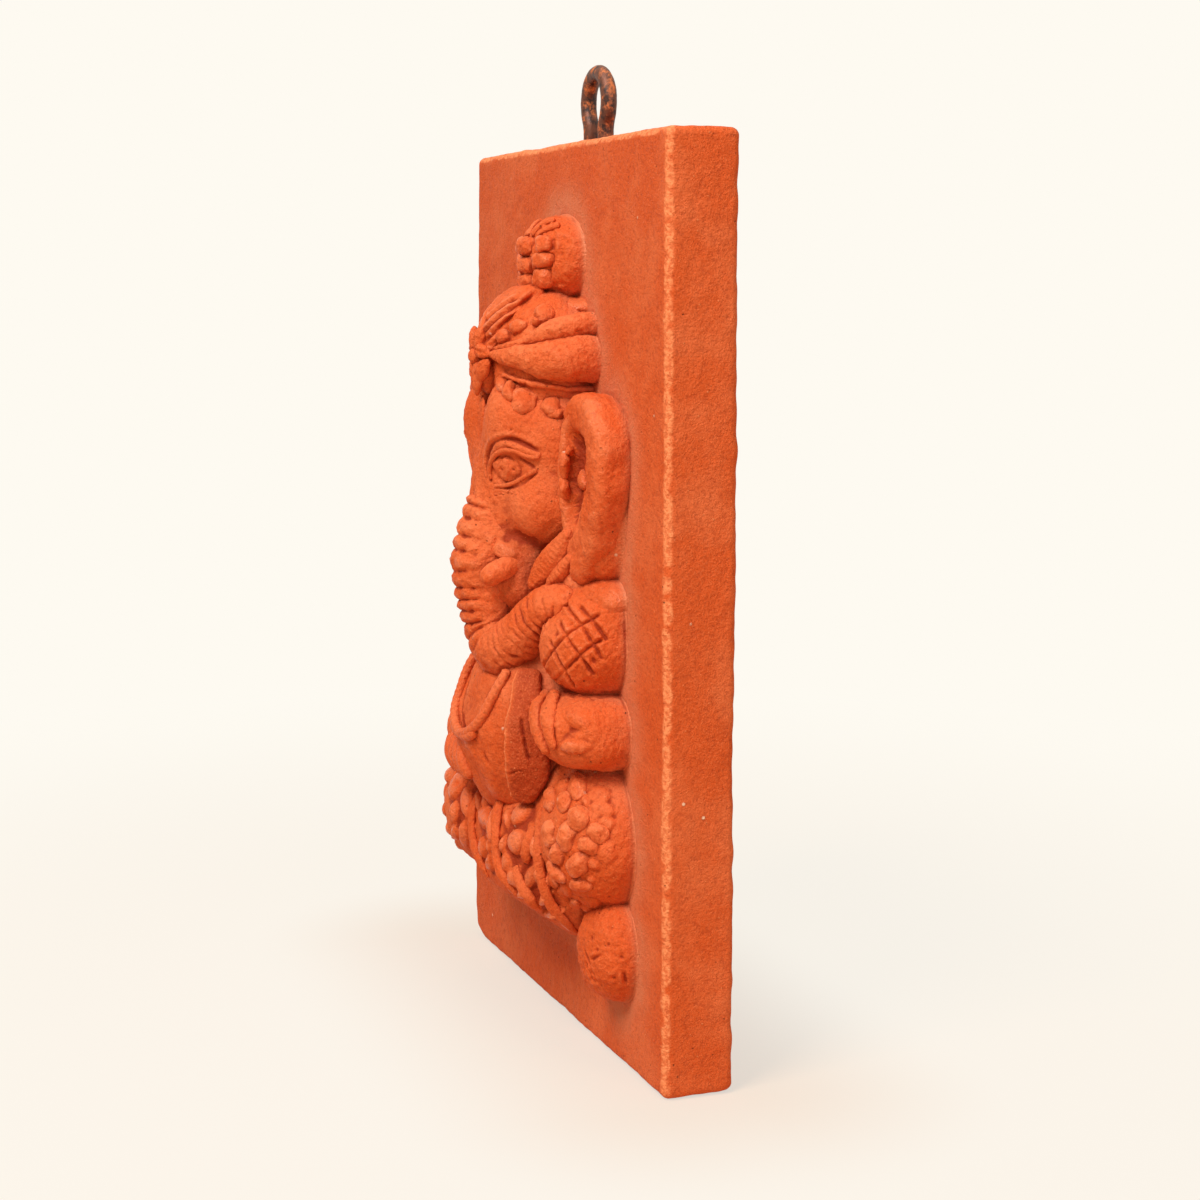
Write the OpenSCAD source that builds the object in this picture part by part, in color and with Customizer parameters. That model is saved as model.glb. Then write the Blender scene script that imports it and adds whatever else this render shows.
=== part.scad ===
// Terracotta plaque to hang on a wall: a seated elephant-headed figure built up in clay on a slab
// The frame has x to the viewer's right, y into the wall and z up, from the middle of the slab's bottom edge.
// Left and right are the viewer's. A place on the figure is [across from its axis, out from the slab, height]

/* [Slab] */
// Width of the slab
slab_w = 130; // [116:1:170]
// Height of the slab
slab_h = 200; // [194:1:240]
// Thickness of the slab
slab_t = 16; // [10:0.5:26]
// Radius of the slab's corners, seen from the front
corner_r = 5; // [4.5:0.5:12]
// Rounding along the slab's edges
edge_r = 2.5; // [0.5:0.5:4.5]

/* [Hanging loop] */
// Diameter of the wire
wire_d = 3.3; // [2:0.1:5]
// Width of the loop, between the middles of its sides
loop_w = 13.2; // [12:0.1:20]
// Height of the loop's top above the slab
loop_rise = 17; // [15:0.5:24]
// Distance between the middles of the two legs
leg_gap = 9; // [7:0.1:10]
// Radius of the bend between a leg and the loop
leg_bend_r = 4; // [3:0.5:6]
// Depth of the legs in the slab
leg_depth = 24; // [10:1:40]
// Room between a leg and its hole
leg_clearance = 0.05; // [0.03:0.01:0.2]
// How much the wire swells where a bend starts
bend_swell = 0.06; // [0.02:0.02:0.2]

/* [Figure] */
// Distance of the figure's axis to the right of the slab's middle
figure_x = 4; // [-8:0.5:8]
// Height of the lap's middle above the slab's bottom
lap_z = 43; // [40:1:50]
// Height of the belly's middle above the lap's
belly_rise = 27; // [22:1:32]
// Height of the head's middle above the belly's
head_rise = 56; // [50:1:60]
// Height of the turban's middle above the head's
turban_rise = 24; // [20:1:28]
// Height of the topknot's middle above the turban's
topknot_rise = 23.5; // [20:0.5:28]

/* [Topknot and turban] */
// Width of the topknot
topknot_w = 24; // [18:0.5:32]
// Height of the topknot
topknot_h = 19; // [15:0.5:24]
// How far the topknot stands out from the slab
topknot_out = 9; // [6:0.5:14]
// Width of the turban
turban_w = 38; // [33:0.5:46]
// Height of the turban
turban_h = 33; // [28:0.5:38]
// How far the turban stands out from the slab
turban_out = 18; // [15:0.5:22]
// Distance of the turban's middle from the slab
turban_core = 5; // [3:0.5:7]
// Half height of the turban's lower fold at the slab
fold_r = 5; // [3.5:0.1:6.5]
// Length of a turban bead, for the largest one
bead_l = 6.4; // [4:0.1:8]

/* [Head] */
// Width of the head
head_w = 46; // [40:0.5:54]
// Height of the head
head_h = 54; // [48:0.5:60]
// How far the forehead stands out from the slab
head_out = 20.5; // [17:0.5:25]
// Length of an eye
eye_l = 8; // [5:0.1:10]
// Diameter of a tusk
tusk_d = 5; // [3:0.1:7]
// Length of a tusk
tusk_l = 12; // [8:0.5:16]
// Diameter of the trunk at the face
trunk_d = 16; // [12:0.5:20]
// Diameter of the trunk's tip
trunk_tip_d = 8; // [6:0.5:11]
// How far the trunk stands out from the slab
trunk_out = 26.8; // [23:0.2:30]
// Width of an ear
ear_w = 20; // [15:0.5:24]
// Height of an ear
ear_h = 41; // [34:0.5:48]
// How far an ear stands out from the slab
ear_out = 7.5; // [5:0.5:11]

/* [Body] */
// Width of the belly
belly_w = 48; // [42:0.5:56]
// Height of the belly
belly_h = 52; // [46:0.5:60]
// How far the belly stands out from the slab
belly_out = 25; // [21:0.5:29]
// Diameter of an upper arm
arm_d = 14; // [10:0.5:18]
// Distance of the sweet's middle from the figure's axis
sweet_x = 26.5; // [25:0.5:28]
// Diameter of the sweet, across
sweet_d = 25.4; // [20:0.2:30]
// Distance of the right hand's middle from the figure's axis
hand_x = 27; // [25:0.5:29]
// Height of the right hand
hand_h = 15.5; // [12:0.5:19]
// Width of the right hand
hand_w = 30; // [24:0.5:34]
// How far the right hand stands out from the slab
hand_out = 15.5; // [12:0.5:19]
// Diameter of the necklace's cord
necklace_d = 2.8; // [2:0.1:4]
// Width of the sash end
sash_w = 8.5; // [6:0.5:12]
// Thickness of the sash end
sash_t = 4; // [3:0.1:6]

/* [Legs] */
// Distance of the middles of the knee, the hand and the sweet from the slab
ball_core = 2; // [1:0.2:3]
// Width of the lap
lap_w = 58; // [48:0.5:66]
// Height of the lap
lap_h = 33; // [28:0.5:38]
// Distance between the pleats of the lap
pleat_gap = 6; // [5:0.2:8]
// How far the lap stands out from the slab
lap_out = 20; // [16:0.5:24]
// Distance of the left leg's middle from the figure's axis
left_leg_x = 22; // [19:0.5:24]
// Width of the left leg
left_leg_w = 50; // [44:0.5:56]
// Distance of the right knee's middle from the figure's axis
knee_x = 29; // [27:0.5:31]
// Height of the knee's middle above the lap's
knee_rise = 6; // [4:0.5:8]
// Width of the right knee
knee_w = 31.4; // [26:0.2:36]
// Height of the right knee
knee_h = 33; // [28:0.5:35]
// How far the right knee stands out from the slab
knee_out = 15.5; // [12:0.5:19]
// Length of a pellet on the knee
pellet_l = 5.6; // [3.5:0.1:7]
// Distance of the right foot's middle from the figure's axis
foot_x = 36; // [33:0.5:38]
// How far the right foot tucks under the knee
foot_tuck = 5; // [3:0.5:7]
// Width of the right foot
foot_w = 20; // [15:0.5:24]
// Height of the right foot
foot_h = 23; // [19:0.5:26]
// How far the right foot stands out from the slab
foot_out = 8.5; // [6:0.5:12]

/* [Hidden] */
clay = "#cd5a32";
iron = "#5a3a28";
right = 1;
left = -1;
front_y = -slab_t / 2;
belly_z = lap_z + belly_rise;
head_z = belly_z + head_rise;
turban_z = head_z + turban_rise;
topknot_z = turban_z + topknot_rise;

// Facets round an egg of clay: large, middling and small ones
fine = 20;
medium = 14;
coarse = 8;

// The middles and half sizes of the main masses
head_c = [0, 0, head_z];
head_r = [head_w / 2, head_out, head_h / 2];
turban_c = [0, turban_core, turban_z];
turban_r = [turban_w / 2, turban_out - turban_core, turban_h / 2];
topknot_c = [0, topknot_out / 9, topknot_z];
topknot_r = [topknot_w / 2, topknot_out - topknot_c[1], topknot_h / 2];
belly_c = [0, 0, belly_z];
belly_r = [belly_w / 2, belly_out, belly_h / 2];
lap_c = [lap_w / 29, lap_out * 0.15, lap_z];
lap_r = [lap_w / 2, lap_out - lap_c[1], lap_h / 2];
knee_c = [knee_x, ball_core, lap_z + knee_rise];
knee_r = [knee_w / 2, knee_out - knee_c[1], knee_h / 2];
hand_c = [hand_x, ball_core, knee_c[2] + (knee_h + hand_h) / 2];
hand_r = [hand_w / 2, hand_out - hand_c[1], hand_h / 2];
sweet_r = [sweet_d / 2, sweet_d / 2, sweet_d * 0.42];
sweet_c = [sweet_x, ball_core, hand_c[2] + hand_r[2] + sweet_r[2] * 0.905];
foot_c = [foot_x, 0, knee_c[2] - (knee_h + foot_h) / 2 + foot_tuck];
foot_r = [foot_w / 2, foot_out, foot_h / 2];
left_leg_c = [-left_leg_x, lap_out * 0.15, lap_z + lap_h * 0.06];
left_leg_r = [left_leg_w / 2, lap_out * 0.925, lap_h / 2];

// A place on the figure as a point of the frame
function spot(p) = [figure_x + p[0], front_y - p[1], p[2]];

// A place on an egg's skin, turned right by az and up by el, and lifted off it by off
function skin(c, r, az, el, off = 0) =
    let (dir = [cos(el) * sin(az), cos(el) * cos(az), sin(el)])
    c + [r[0] * dir[0], r[1] * dir[1], r[2] * dir[2]] + off * dir;

// The same place on the other side of the figure's axis where side is left
function sided(side, p) = [for (i = [0 : len(p) - 1]) i == 0 ? side * p[0] : p[i]];

function unit(v) = v / norm(v);

// A smooth run through a list of points, with a number of steps to each stretch
function knot(list, i) = list[max(0, min(len(list) - 1, i))];
function run(list, steps) = [
    for (i = [0 : len(list) - 2], k = [0 : steps - 1])
        let (t = k / steps, a = knot(list, i - 1), b = list[i], c = list[i + 1], d = knot(list, i + 2))
        (2 * b + t * (c - a) + t * t * (2 * a - 5 * b + 4 * c - d) + t * t * t * (3 * b - a - 3 * c + d)) / 2,
    list[len(list) - 1]
];

// An egg of clay with half sizes r, leaned over by lean
module egg(c, r, n = medium, lean = [0, 0, 0]) {
    translate(spot(c)) rotate(lean) scale(r) sphere(1, $fn = n);
}

// A roll of clay with round ends through points of [across, out, height, half width, half thickness].
// Its thickness lies along face, a direction of the frame.
module roll(list, face = [0, -1, 0], sides = 10, steps = 3) {
    line = run(list, steps);
    last = len(line) - 1;
    mid = [for (p = line) spot(p)];
    way = [for (i = [0 : last]) unit(mid[min(i + 1, last)] - mid[max(i - 1, 0)])];
    cap = [for (i = [0, last]) min(line[i][3], line[i][4])];
    rings = concat(
        [for (a = [70, 35]) [mid[0] - way[0] * cap[0] * sin(a), way[0], line[0] * cos(a)]],
        [for (i = [0 : last]) [mid[i], way[i], line[i]]],
        [for (a = [35, 70]) [mid[last] + way[last] * cap[1] * sin(a), way[last], line[last] * cos(a)]]
    );
    points = [
        for (ring = rings, j = [0 : sides - 1])
            let (across = unit(cross(ring[1], face)), up = cross(across, ring[1]), a = 360 * j / sides)
            ring[0] + across * ring[2][3] * cos(a) + up * ring[2][4] * sin(a)
    ];
    count = len(rings);
    faces = concat(
        [[for (j = [sides - 1 : -1 : 0]) j]],
        [for (i = [0 : count - 2], j = [0 : sides - 1])
            let (b = i * sides, k = (j + 1) % sides)
            each [[b + j, b + k, b + sides + k], [b + j, b + sides + k, b + sides + j]]],
        [[for (j = [0 : sides - 1]) (count - 1) * sides + j]]
    );
    polyhedron(points, faces);
}

// The room in front of which everything lies: the slab and all behind it
module slab_block() {
    translate([-slab_w, front_y, -slab_h]) cube([2 * slab_w, slab_w, 3 * slab_h]);
}

// The first child, pressed onto the slab and onto the other children, whose shape it takes where they meet
module pressed() {
    resize([0, 0, 0]) difference() {
        children(0);
        slab_block();
        if ($children > 1) children([1 : $children - 1]);
    }
}

// A rectangle with round corners, middled across and standing on its lower edge
module round_rect(w, h, r) {
    translate([-w / 2 + r, 0]) square([w - 2 * r, h]);
    translate([-w / 2, r]) square([w, h - 2 * r]);
    for (x = [-w / 2 + r, w / 2 - r], y = [r, h - r]) translate([x, y]) circle(r, $fn = 48);
}

module leg_holes() {
    for (x = [-leg_gap / 2, leg_gap / 2])
        translate([figure_x + x, 0, slab_h - leg_depth])
            cylinder(d = wire_d + 2 * leg_clearance, h = leg_depth + slab_t, $fn = 48);
}

module back_slab() {
    color(clay) difference() {
        intersection() {
            translate([0, slab_t / 2, 0]) rotate([90, 0, 0]) linear_extrude(slab_t)
                round_rect(slab_w, slab_h, corner_r);
            translate([0, -slab_t / 2, 0]) linear_extrude(slab_h) round_rect(slab_w, slab_t, edge_r);
            translate([-slab_w / 2, 0, 0]) rotate([90, 0, 90]) linear_extrude(slab_w)
                round_rect(slab_t, slab_h, edge_r);
        }
        leg_holes();
    }
}

// A bend of the wire: part of a ring about the y axis, from one angle to another, counted from x up to z
module bend(c, r, from, to) {
    translate(c) rotate([90, 0, 0]) rotate([0, 0, from])
        rotate_extrude(angle = to - from, $fn = 64) translate([r, 0]) circle(d = wire_d, $fn = 48);
}

// The slight swelling where two stretches of the wire meet
module bend_ball(c) translate(c) sphere(d = wire_d + bend_swell, $fn = 48);

module hanging_loop() {
    ring_r = loop_w / 2;
    ring_z = slab_h + loop_rise - wire_d / 2 - ring_r;
    bend_x = leg_gap / 2 + leg_bend_r;
    drop = sqrt(pow(ring_r + leg_bend_r, 2) - bend_x * bend_x);
    meet = atan2(drop, bend_x);
    color(iron) translate([figure_x, 0, 0]) {
        bend([0, 0, ring_z], ring_r, -meet, 180 + meet);
        bend([bend_x, 0, ring_z - drop], leg_bend_r, 180 - meet, 180);
        bend([-bend_x, 0, ring_z - drop], leg_bend_r, 0, meet);
        for (x = [-leg_gap / 2, leg_gap / 2]) translate([x, 0, slab_h - leg_depth])
            cylinder(d = wire_d, h = ring_z - drop - slab_h + leg_depth, $fn = 48);
        for (x = [leg_gap / 2, -leg_gap / 2]) bend_ball([x, 0, ring_z - drop]);
        for (x = [ring_r * cos(meet), -ring_r * cos(meet)]) bend_ball([x, 0, ring_z - ring_r * sin(meet)]);
    }
}

module torso_form() {
    egg(belly_c, belly_r, fine);
    egg([0, 0, belly_z + belly_h / 2], [belly_w * 0.48, belly_out * 0.64, belly_h * 0.308], medium);
}
module torso() color(clay) pressed() torso_form();

module head_form() {
    egg(head_c, head_r, fine);
    egg([0, head_out * 0.39, head_z - head_h / 3], [head_w * 0.283, head_out * 0.537, head_h / 6]);
    for (side = [left, right]) {
        egg([side * head_w * 0.16, head_out * 0.634, head_z + head_h * 0.232],
            [head_w * 0.174, head_out * 0.405, head_h * 0.204]);
        egg([side * head_w * 0.28, head_out * 0.195, head_z + head_h / 6],
            [head_w * 0.207, head_out * 0.537, head_h * 0.241]);
        egg([side * head_w * 0.3, head_out * 0.341, head_z - head_h / 6],
            [head_w * 0.174, head_out * 0.415, head_h * 0.176]);
    }
}
module head() color(clay) pressed() { head_form(); torso_form(); }

module turban_form() {
    egg(turban_c, turban_r, fine);
    egg([0, turban_core, turban_z + turban_h * 0.15],
        [turban_r[0] * 0.947, turban_r[1] * 0.923, turban_r[2] * 0.758], medium);
}
module turban_cap() color(clay) pressed() { turban_form(); head_form(); }

module topknot_form() egg(topknot_c, topknot_r, fine);
module topknot() color(clay) pressed() { topknot_form(); turban_form(); }

// Two columns of three pellets down the front of the topknot
module topknot_braid() {
    color(clay) pressed() {
        for (across = [-22, 22], row = [-1 : 1])
            egg(skin(topknot_c, topknot_r, across, row * 25 - 8),
                [topknot_w * 0.15, 2.2, topknot_h * 0.11], coarse);
        topknot_form();
        turban_form();
    }
}

// A low collar of clay between the topknot and the turban
module collar_form() {
    neck_z = topknot_z - topknot_r[2] + 1;
    roll([for (az = [-80 : 40 : 80])
        concat([topknot_w * 0.48 * sin(az), turban_core * 1.2 * cos(az), neck_z], topknot_h * [0.116, 0.126])]);
}
module topknot_collar() color(clay) pressed() { collar_form(); topknot_form(); turban_form(); }

// Three strips from the brooch over the turban's top
module crest_form() {
    for (x = [-4, 0, 4])
        roll([for (el = [12, 35, 60, 80])
            concat(skin(turban_c, turban_r, 0, el, 1) + [x * cos(el / 2), 0, 0], [1.7, 1.4])],
            sides = 8, steps = 2);
}
module turban_crest() {
    color(clay) pressed() {
        crest_form();
        turban_form();
        topknot_form();
        collar_form();
        brooch_form();
    }
}

// A fold of the turban from the brooch round to the slab, swelling as it goes
module lower_fold_form(side) {
    roll([
        sided(side, concat(skin(turban_c, turban_r, 10, 8, 0.5), [1.3, 1.4])),
        sided(side, concat(skin(turban_c, turban_r, 38, 8, 0.6), [fold_r * 0.62, 2.4])),
        sided(side, concat(skin(turban_c, turban_r, 68, 8, 0.4), [fold_r * 0.85, 2.9])),
        sided(side, [turban_r[0] + 0.2, turban_core, turban_z + 2.6, fold_r, 2.9]),
        sided(side, [turban_r[0] + 0.2, -1, turban_z + 2.6, fold_r * 0.9, 2.7])
    ], face = [side, -1, 0], sides = 12);
}
module lower_fold(side) {
    color(clay) pressed() {
        lower_fold_form(side);
        turban_form();
        head_form();
        brooch_form();
    }
}
module right_lower_fold() lower_fold(right);
module left_lower_fold() lower_fold(left);

module upper_fold_form(side) {
    roll([
        sided(side, concat(skin(turban_c, turban_r, 12, 20, 0.3), [1, 1.1])),
        sided(side, concat(skin(turban_c, turban_r, 40, 27, 0.6), [2, 2])),
        sided(side, [turban_r[0] - 1.5, turban_core + 3.5, turban_z + 9.8, 2.6, 2.8]),
        sided(side, [turban_r[0] - 1.2, -1, turban_z + 10.4, 2.8, 2.8])
    ], face = [side, -1, 0.5]);
}
module upper_fold(side) {
    color(clay) pressed() {
        upper_fold_form(side);
        turban_form();
        lower_fold_form(side);
        brooch_form();
    }
}
module right_upper_fold() upper_fold(right);
module left_upper_fold() upper_fold(left);

// A thin cord round the turban's lower edge
module rim_form() {
    roll([for (az = [-90 : 30 : 90])
        concat(skin(turban_c, turban_r, az, -4 - abs(az) / 14, 0.6), [0.9, 1.3])], sides = 6, steps = 2);
}
module turban_rim() {
    color(clay) pressed() {
        rim_form();
        turban_form();
        head_form();
        brooch_form();
        lower_fold_form(left);
        lower_fold_form(right);
    }
}

// Five beads from the brooch up to the collar, each larger than the last
module turban_beads_form(side) {
    for (i = [0 : 4])
        egg(sided(side, skin(turban_c, turban_r + [1, 1, 1], 20 + 9 * i, 19 + 8 * i, 0.8)),
            [0.5, 0.42, 0.36] * bead_l * (0.5 + 0.12 * i), coarse, [0, side * -35, side * 25]);
}
module turban_beads(side) {
    color(clay) pressed() {
        turban_beads_form(side);
        turban_form();
        crest_form();
        upper_fold_form(side);
        lower_fold_form(side);
        brooch_form();
        collar_form();
        topknot_form();
    }
}
module right_turban_beads() turban_beads(right);
module left_turban_beads() turban_beads(left);

// A brooch of five long petals about a boss
module brooch_form() {
    boss = [0, turban_out + 0.8, turban_z + 2.5];
    egg(boss, [2.6, 2.4, 2.6], coarse);
    for (a = [0, 65, 140, 220, 295])
        egg(boss + [3.6 * sin(a), -0.6, 3.8 * cos(a)], [1.6, 1.8, 3.6], coarse, [0, a, 0]);
}
module turban_brooch() color(clay) pressed() { brooch_form(); turban_form(); head_form(); }

// A row of beads along the brow, under the turban
module brow_beads(side) {
    color(clay) pressed() {
        for (i = [0 : 4])
            egg(sided(side, [head_w * (0.109 + 0.087 * i),
                turban_out * (1.011 - 0.042 * i - 0.028 * i * i), turban_z - turban_h * (0.079 + 0.045 * i)]),
                bead_l * [0.36, 0.34, 0.3], coarse);
        head_form();
        turban_form();
        rim_form();
        lower_fold_form(side);
        brooch_form();
    }
}
module right_brow_beads() brow_beads(right);
module left_brow_beads() brow_beads(left);

// A long drop down the middle of the forehead
module forehead_mark() {
    color(clay) pressed() {
        roll([
            [0, head_out - 1.4, head_z + 17, 2.4, 1.6],
            [0, head_out - 0.8, head_z + 13, 1.8, 1.5],
            [0, head_out - 0.6, head_z + 9, 0.7, 1.1]
        ], sides = 8);
        head_form();
        turban_form();
        brooch_form();
    }
}

// An eye and its two lids, on the side of the face
eye_az = 37;
eye_el = 8;
module eye_form(side) {
    egg(sided(side, skin(head_c, head_r, eye_az, eye_el, 0.4)), [0.42, 0.28, 0.4] * eye_l,
        coarse + 2, [0, 0, side * 35]);
}
module eye(side) color(clay) pressed() { eye_form(side); head_form(); }
module right_eye() eye(right);
module left_eye() eye(left);

// A lid is an arc over the skin of the head, from the inner corner to the outer one
function lid_point(side, turn, height, thick) =
    let (half_turn = 16 * eye_l / 8, off = -cos(turn))
    sided(side, concat(
        skin(head_c, head_r, eye_az + half_turn * off, eye_el + 7 * off + height * sin(turn), 0.9),
        [thick * (0.45 + 0.55 * sin(turn)), thick]));
module eyelids(side) {
    color(clay) pressed() {
        for (height = [12, -8])
            roll([for (turn = [0 : 45 : 180]) lid_point(side, turn, height, 1.2)],
                face = [side, -1, 0], sides = 6, steps = 2);
        head_form();
        eye_form(side);
    }
}
module right_eyelids() eyelids(right);
module left_eyelids() eyelids(left);

// A short blunt tusk beside the trunk
module tusk_form(side) {
    root = [head_w * 0.185, head_out * 0.732, head_z - head_h * 0.343];
    lead = unit([-1.5, 7, -4]) * (tusk_l - tusk_d);
    roll([
        sided(side, concat(root - lead * 0.3, [tusk_d * 0.5, tusk_d * 0.5])),
        sided(side, concat(root + lead * 0.5, [tusk_d * 0.5, tusk_d * 0.5])),
        sided(side, concat(root + lead, [tusk_d * 0.42, tusk_d * 0.42]))
    ], face = [0, 0, 1]);
}
module tusk(side) color(clay) pressed() { tusk_form(side); head_form(); trunk_form(); torso_form(); }
module right_tusk() tusk(right);
module left_tusk() tusk(left);

// The trunk comes down the middle, turns to the right above the belly and ends on the sweet
module trunk_form() {
    root_r = trunk_d / 2;
    tip_r = trunk_tip_d / 2;
    mid_r = (root_r + tip_r) / 2;
    run_out = trunk_out - root_r;
    sweet_top = sweet_c[2] + sweet_r[2];
    near_r = mid_r * 0.98;
    over_r = mid_r * 0.86;
    roll([
        [0, head_out - root_r, head_z, root_r * 0.9, root_r * 0.9],
        [0, run_out - trunk_d * 0.16, head_z - head_h * 0.204, root_r, root_r],
        [0, run_out, head_z - head_h * 0.352, root_r, root_r],
        [0, run_out - trunk_d * 0.09, head_z - head_h * 0.52, root_r * 0.94, root_r * 0.94],
        [trunk_d * 0.125, run_out - trunk_d * 0.2, head_z - head_h * 0.667, root_r * 0.88, root_r * 0.88]
    ], face = [1, -1, 0], sides = 12);
    roll([
        [trunk_d * 0.19, run_out - trunk_d * 0.21, head_z - head_h * 0.676, mid_r * 1.16, mid_r * 1.16],
        [trunk_d * 0.625, run_out - trunk_d * 0.29, head_z - head_h * 0.63, mid_r * 1.08, mid_r * 1.08],
        [sweet_x - sweet_d * 0.315, run_out - trunk_d * 0.425, sweet_top - sweet_d * 0.1, near_r, near_r],
        [sweet_x - sweet_d * 0.06, run_out - trunk_d * 0.58, sweet_top + sweet_d * 0.04, over_r, over_r],
        [sweet_x + sweet_d * 0.138, run_out - trunk_d * 0.7, sweet_top - sweet_d * 0.02, tip_r, tip_r]
    ], face = [1, -1, 0], sides = 12);
}
module trunk() color(clay) pressed() { trunk_form(); head_form(); torso_form(); sweet_form(); }

// An ear is a thick rim round a shallow plate, wide above and narrow below
ear_x = head_w / 2 - 1;
ear_z = head_z - 1.5;
module ear_form(side) {
    rim = ear_out * 0.56;
    core = ear_out - rim;
    outline = [
        [0.05, 0.38], [0.4, 0.41], [0.72, 0.33], [0.79, 0.14], [0.68, -0.1], [0.5, -0.3], [0.24, -0.41]
    ];
    egg(sided(side, [ear_x + ear_w * 0.42, 0, ear_z + ear_h * 0.06]),
        [ear_w * 0.42, ear_out * 0.62, ear_h * 0.4]);
    roll([for (p = outline)
        sided(side, [ear_x + ear_w * p[0], core, ear_z + ear_h * p[1], ear_w * 0.22, rim])], steps = 2);
}
module ear(side) {
    color(clay) pressed() {
        ear_form(side);
        head_form();
        turban_form();
        torso_form();
        lower_fold_form(side);
    }
}
module right_ear() ear(right);
module left_ear() ear(left);

// Three lumps of an earring in the hollow of the ear
module earring(side) {
    color(clay) pressed() {
        for (p = [[0.16, 0.14, 5.2], [0.36, 0.11, 5.4], [0.14, -0.04, 4.4]])
            egg(sided(side, [ear_x + ear_w * p[0], ear_out * 0.72, ear_z + ear_h * p[1]]),
                [2.1, 2.4, p[2]], coarse);
        ear_form(side);
        head_form();
    }
}
module right_earring() earring(right);
module left_earring() earring(left);

// The end of a shawl over the shoulder, between the face and the ear
module shawl_form(side) {
    roll([
        sided(side, [head_w * 0.5, head_out * 0.317, head_z - head_h * 0.222, 2, 2]),
        sided(side, [head_w * 0.413, head_out * 0.512, head_z - head_h * 0.352, 3.4, 2.2]),
        sided(side, [head_w * 0.304, head_out * 0.61, head_z - head_h * 0.4815, 3, 2])
    ], face = [side, -1.5, 0.5]);
}
module shawl(side) {
    color(clay) pressed() {
        shawl_form(side);
        head_form();
        torso_form();
        ear_form(side);
        arm_form(side);
        if (side == right) trunk_form();
    }
}
module right_shawl() shawl(right);
module left_shawl() shawl(left);

module arm_form(side) {
    r = arm_d / 2;
    roll([
        sided(side, [belly_w * 0.4, arm_d * 0.43, belly_z + belly_h * 0.558, r * 0.9, r * 0.9]),
        sided(side, [belly_w * 0.59, arm_d * 0.25, belly_z + belly_h * 0.5, r, r]),
        sided(side, [belly_w * 0.57, arm_d * 0.18, belly_z + belly_h * 0.365, r * 0.85, r * 0.85])
    ], steps = 2);
}
module upper_arm(side) {
    color(clay) pressed() {
        arm_form(side);
        torso_form();
        head_form();
        ear_form(side);
        if (side == right) {
            sweet_form();
            trunk_form();
        }
    }
}
module right_upper_arm() upper_arm(right);
module left_upper_arm() upper_arm(left);

// The left forearm comes forward over the belly to the hand
module left_forearm_form() {
    r = arm_d / 2;
    roll([
        [-belly_w * 0.66, arm_d * 0.286, belly_z + belly_h * 0.173, r * 0.85, r * 0.85],
        [-belly_w * 0.66, arm_d * 0.643, belly_z - belly_h * 0.058, r * 0.85, r * 0.85],
        [-belly_w * 0.48, belly_out * 0.68, belly_z - belly_h * 0.144, r * 0.75, r * 0.7]
    ], steps = 2);
}
module left_forearm() {
    color(clay) pressed() {
        left_forearm_form();
        arm_form(left);
        torso_form();
        left_leg_form();
    }
}

// The left hand rests on the belly, with its fingers pointing inward
left_palm = [-belly_w * 0.29, belly_out * 0.78, belly_z - belly_h * 0.144];
module left_hand() {
    color(clay) pressed() {
        union() {
            egg(left_palm, arm_d * [0.57, 0.36, 0.46]);
            for (i = [0 : 3])
                roll([
                    concat(left_palm + arm_d * [0.14, 0.14, 0.3 - 0.207 * i], arm_d * [0.114, 0.114]),
                    concat(left_palm + arm_d * [0.57, 0.23, 0.243 - 0.207 * i], arm_d * [0.107, 0.107]),
                    concat(left_palm + arm_d * [0.89, 0.186, 0.157 - 0.186 * i], arm_d * [0.086, 0.086])
                ], sides = 8, steps = 2);
        }
        torso_form();
        left_forearm_form();
        left_leg_form();
        lap_form();
    }
}

// The right hand is a cupped fist under the sweet, with two fingers up its inner side
module hand_form() {
    egg(hand_c, hand_r, fine);
    egg(hand_c + [hand_w * 0.2, 0, 1], [hand_w * 0.29, hand_r[1] * 0.86, hand_r[2] * 0.94]);
    for (i = [0, 1])
        roll([
            concat(hand_c + [-9 + 5 * i, 9.4 + 0.8 * i, -4], [2, 2]),
            concat(hand_c + [-9.5 + 5 * i, 10 + 1.2 * i, 2], [2, 2]),
            concat(hand_c + [-8 + 5 * i, 8.6 + 1.2 * i, 7], [1.7, 1.7])
        ], sides = 8, steps = 2);
}
module right_hand() color(clay) pressed() { hand_form(); torso_form(); knee_form(); sweet_form(); }

module sweet_form() egg(sweet_c, sweet_r, fine);
module sweet() color(clay) pressed() { sweet_form(); torso_form(); }

// A cord that hangs from the neck over the belly
function necklace_point(turn) =
    let (across = sign(cos(turn)) * sqrt(abs(cos(turn))))
    concat(skin(belly_c, belly_r, 34 * across, 31 - 36 * sin(turn), 0.5), [0.5, 0.5] * necklace_d);
module necklace() {
    color(clay) pressed() {
        roll([for (turn = [0 : 22.5 : 180]) necklace_point(turn)], sides = 8, steps = 2);
        torso_form();
        trunk_form();
        head_form();
    }
}

// The end of a sash, hanging beside the belly
module sash_form() {
    roll([
        [belly_w * 0.292, belly_out * 0.66, belly_z + belly_h * 0.25, sash_w * 0.36, sash_t * 0.5],
        [belly_w * 0.365, belly_out * 0.68, belly_z + belly_h * 0.058, sash_w * 0.48, sash_t * 0.5],
        [belly_w * 0.385, belly_out * 0.688, belly_z - belly_h * 0.135, sash_w * 0.5, sash_t * 0.5],
        [belly_w * 0.385, belly_out * 0.7, belly_z - belly_h * 0.26, sash_w * 0.34, sash_t * 0.42]
    ], face = [0.8, -1, 0]);
}
module right_sash_end() {
    color(clay) pressed() {
        sash_form();
        torso_form();
        hand_form();
        sweet_form();
        trunk_form();
        knee_form();
        lap_form();
    }
}

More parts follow.
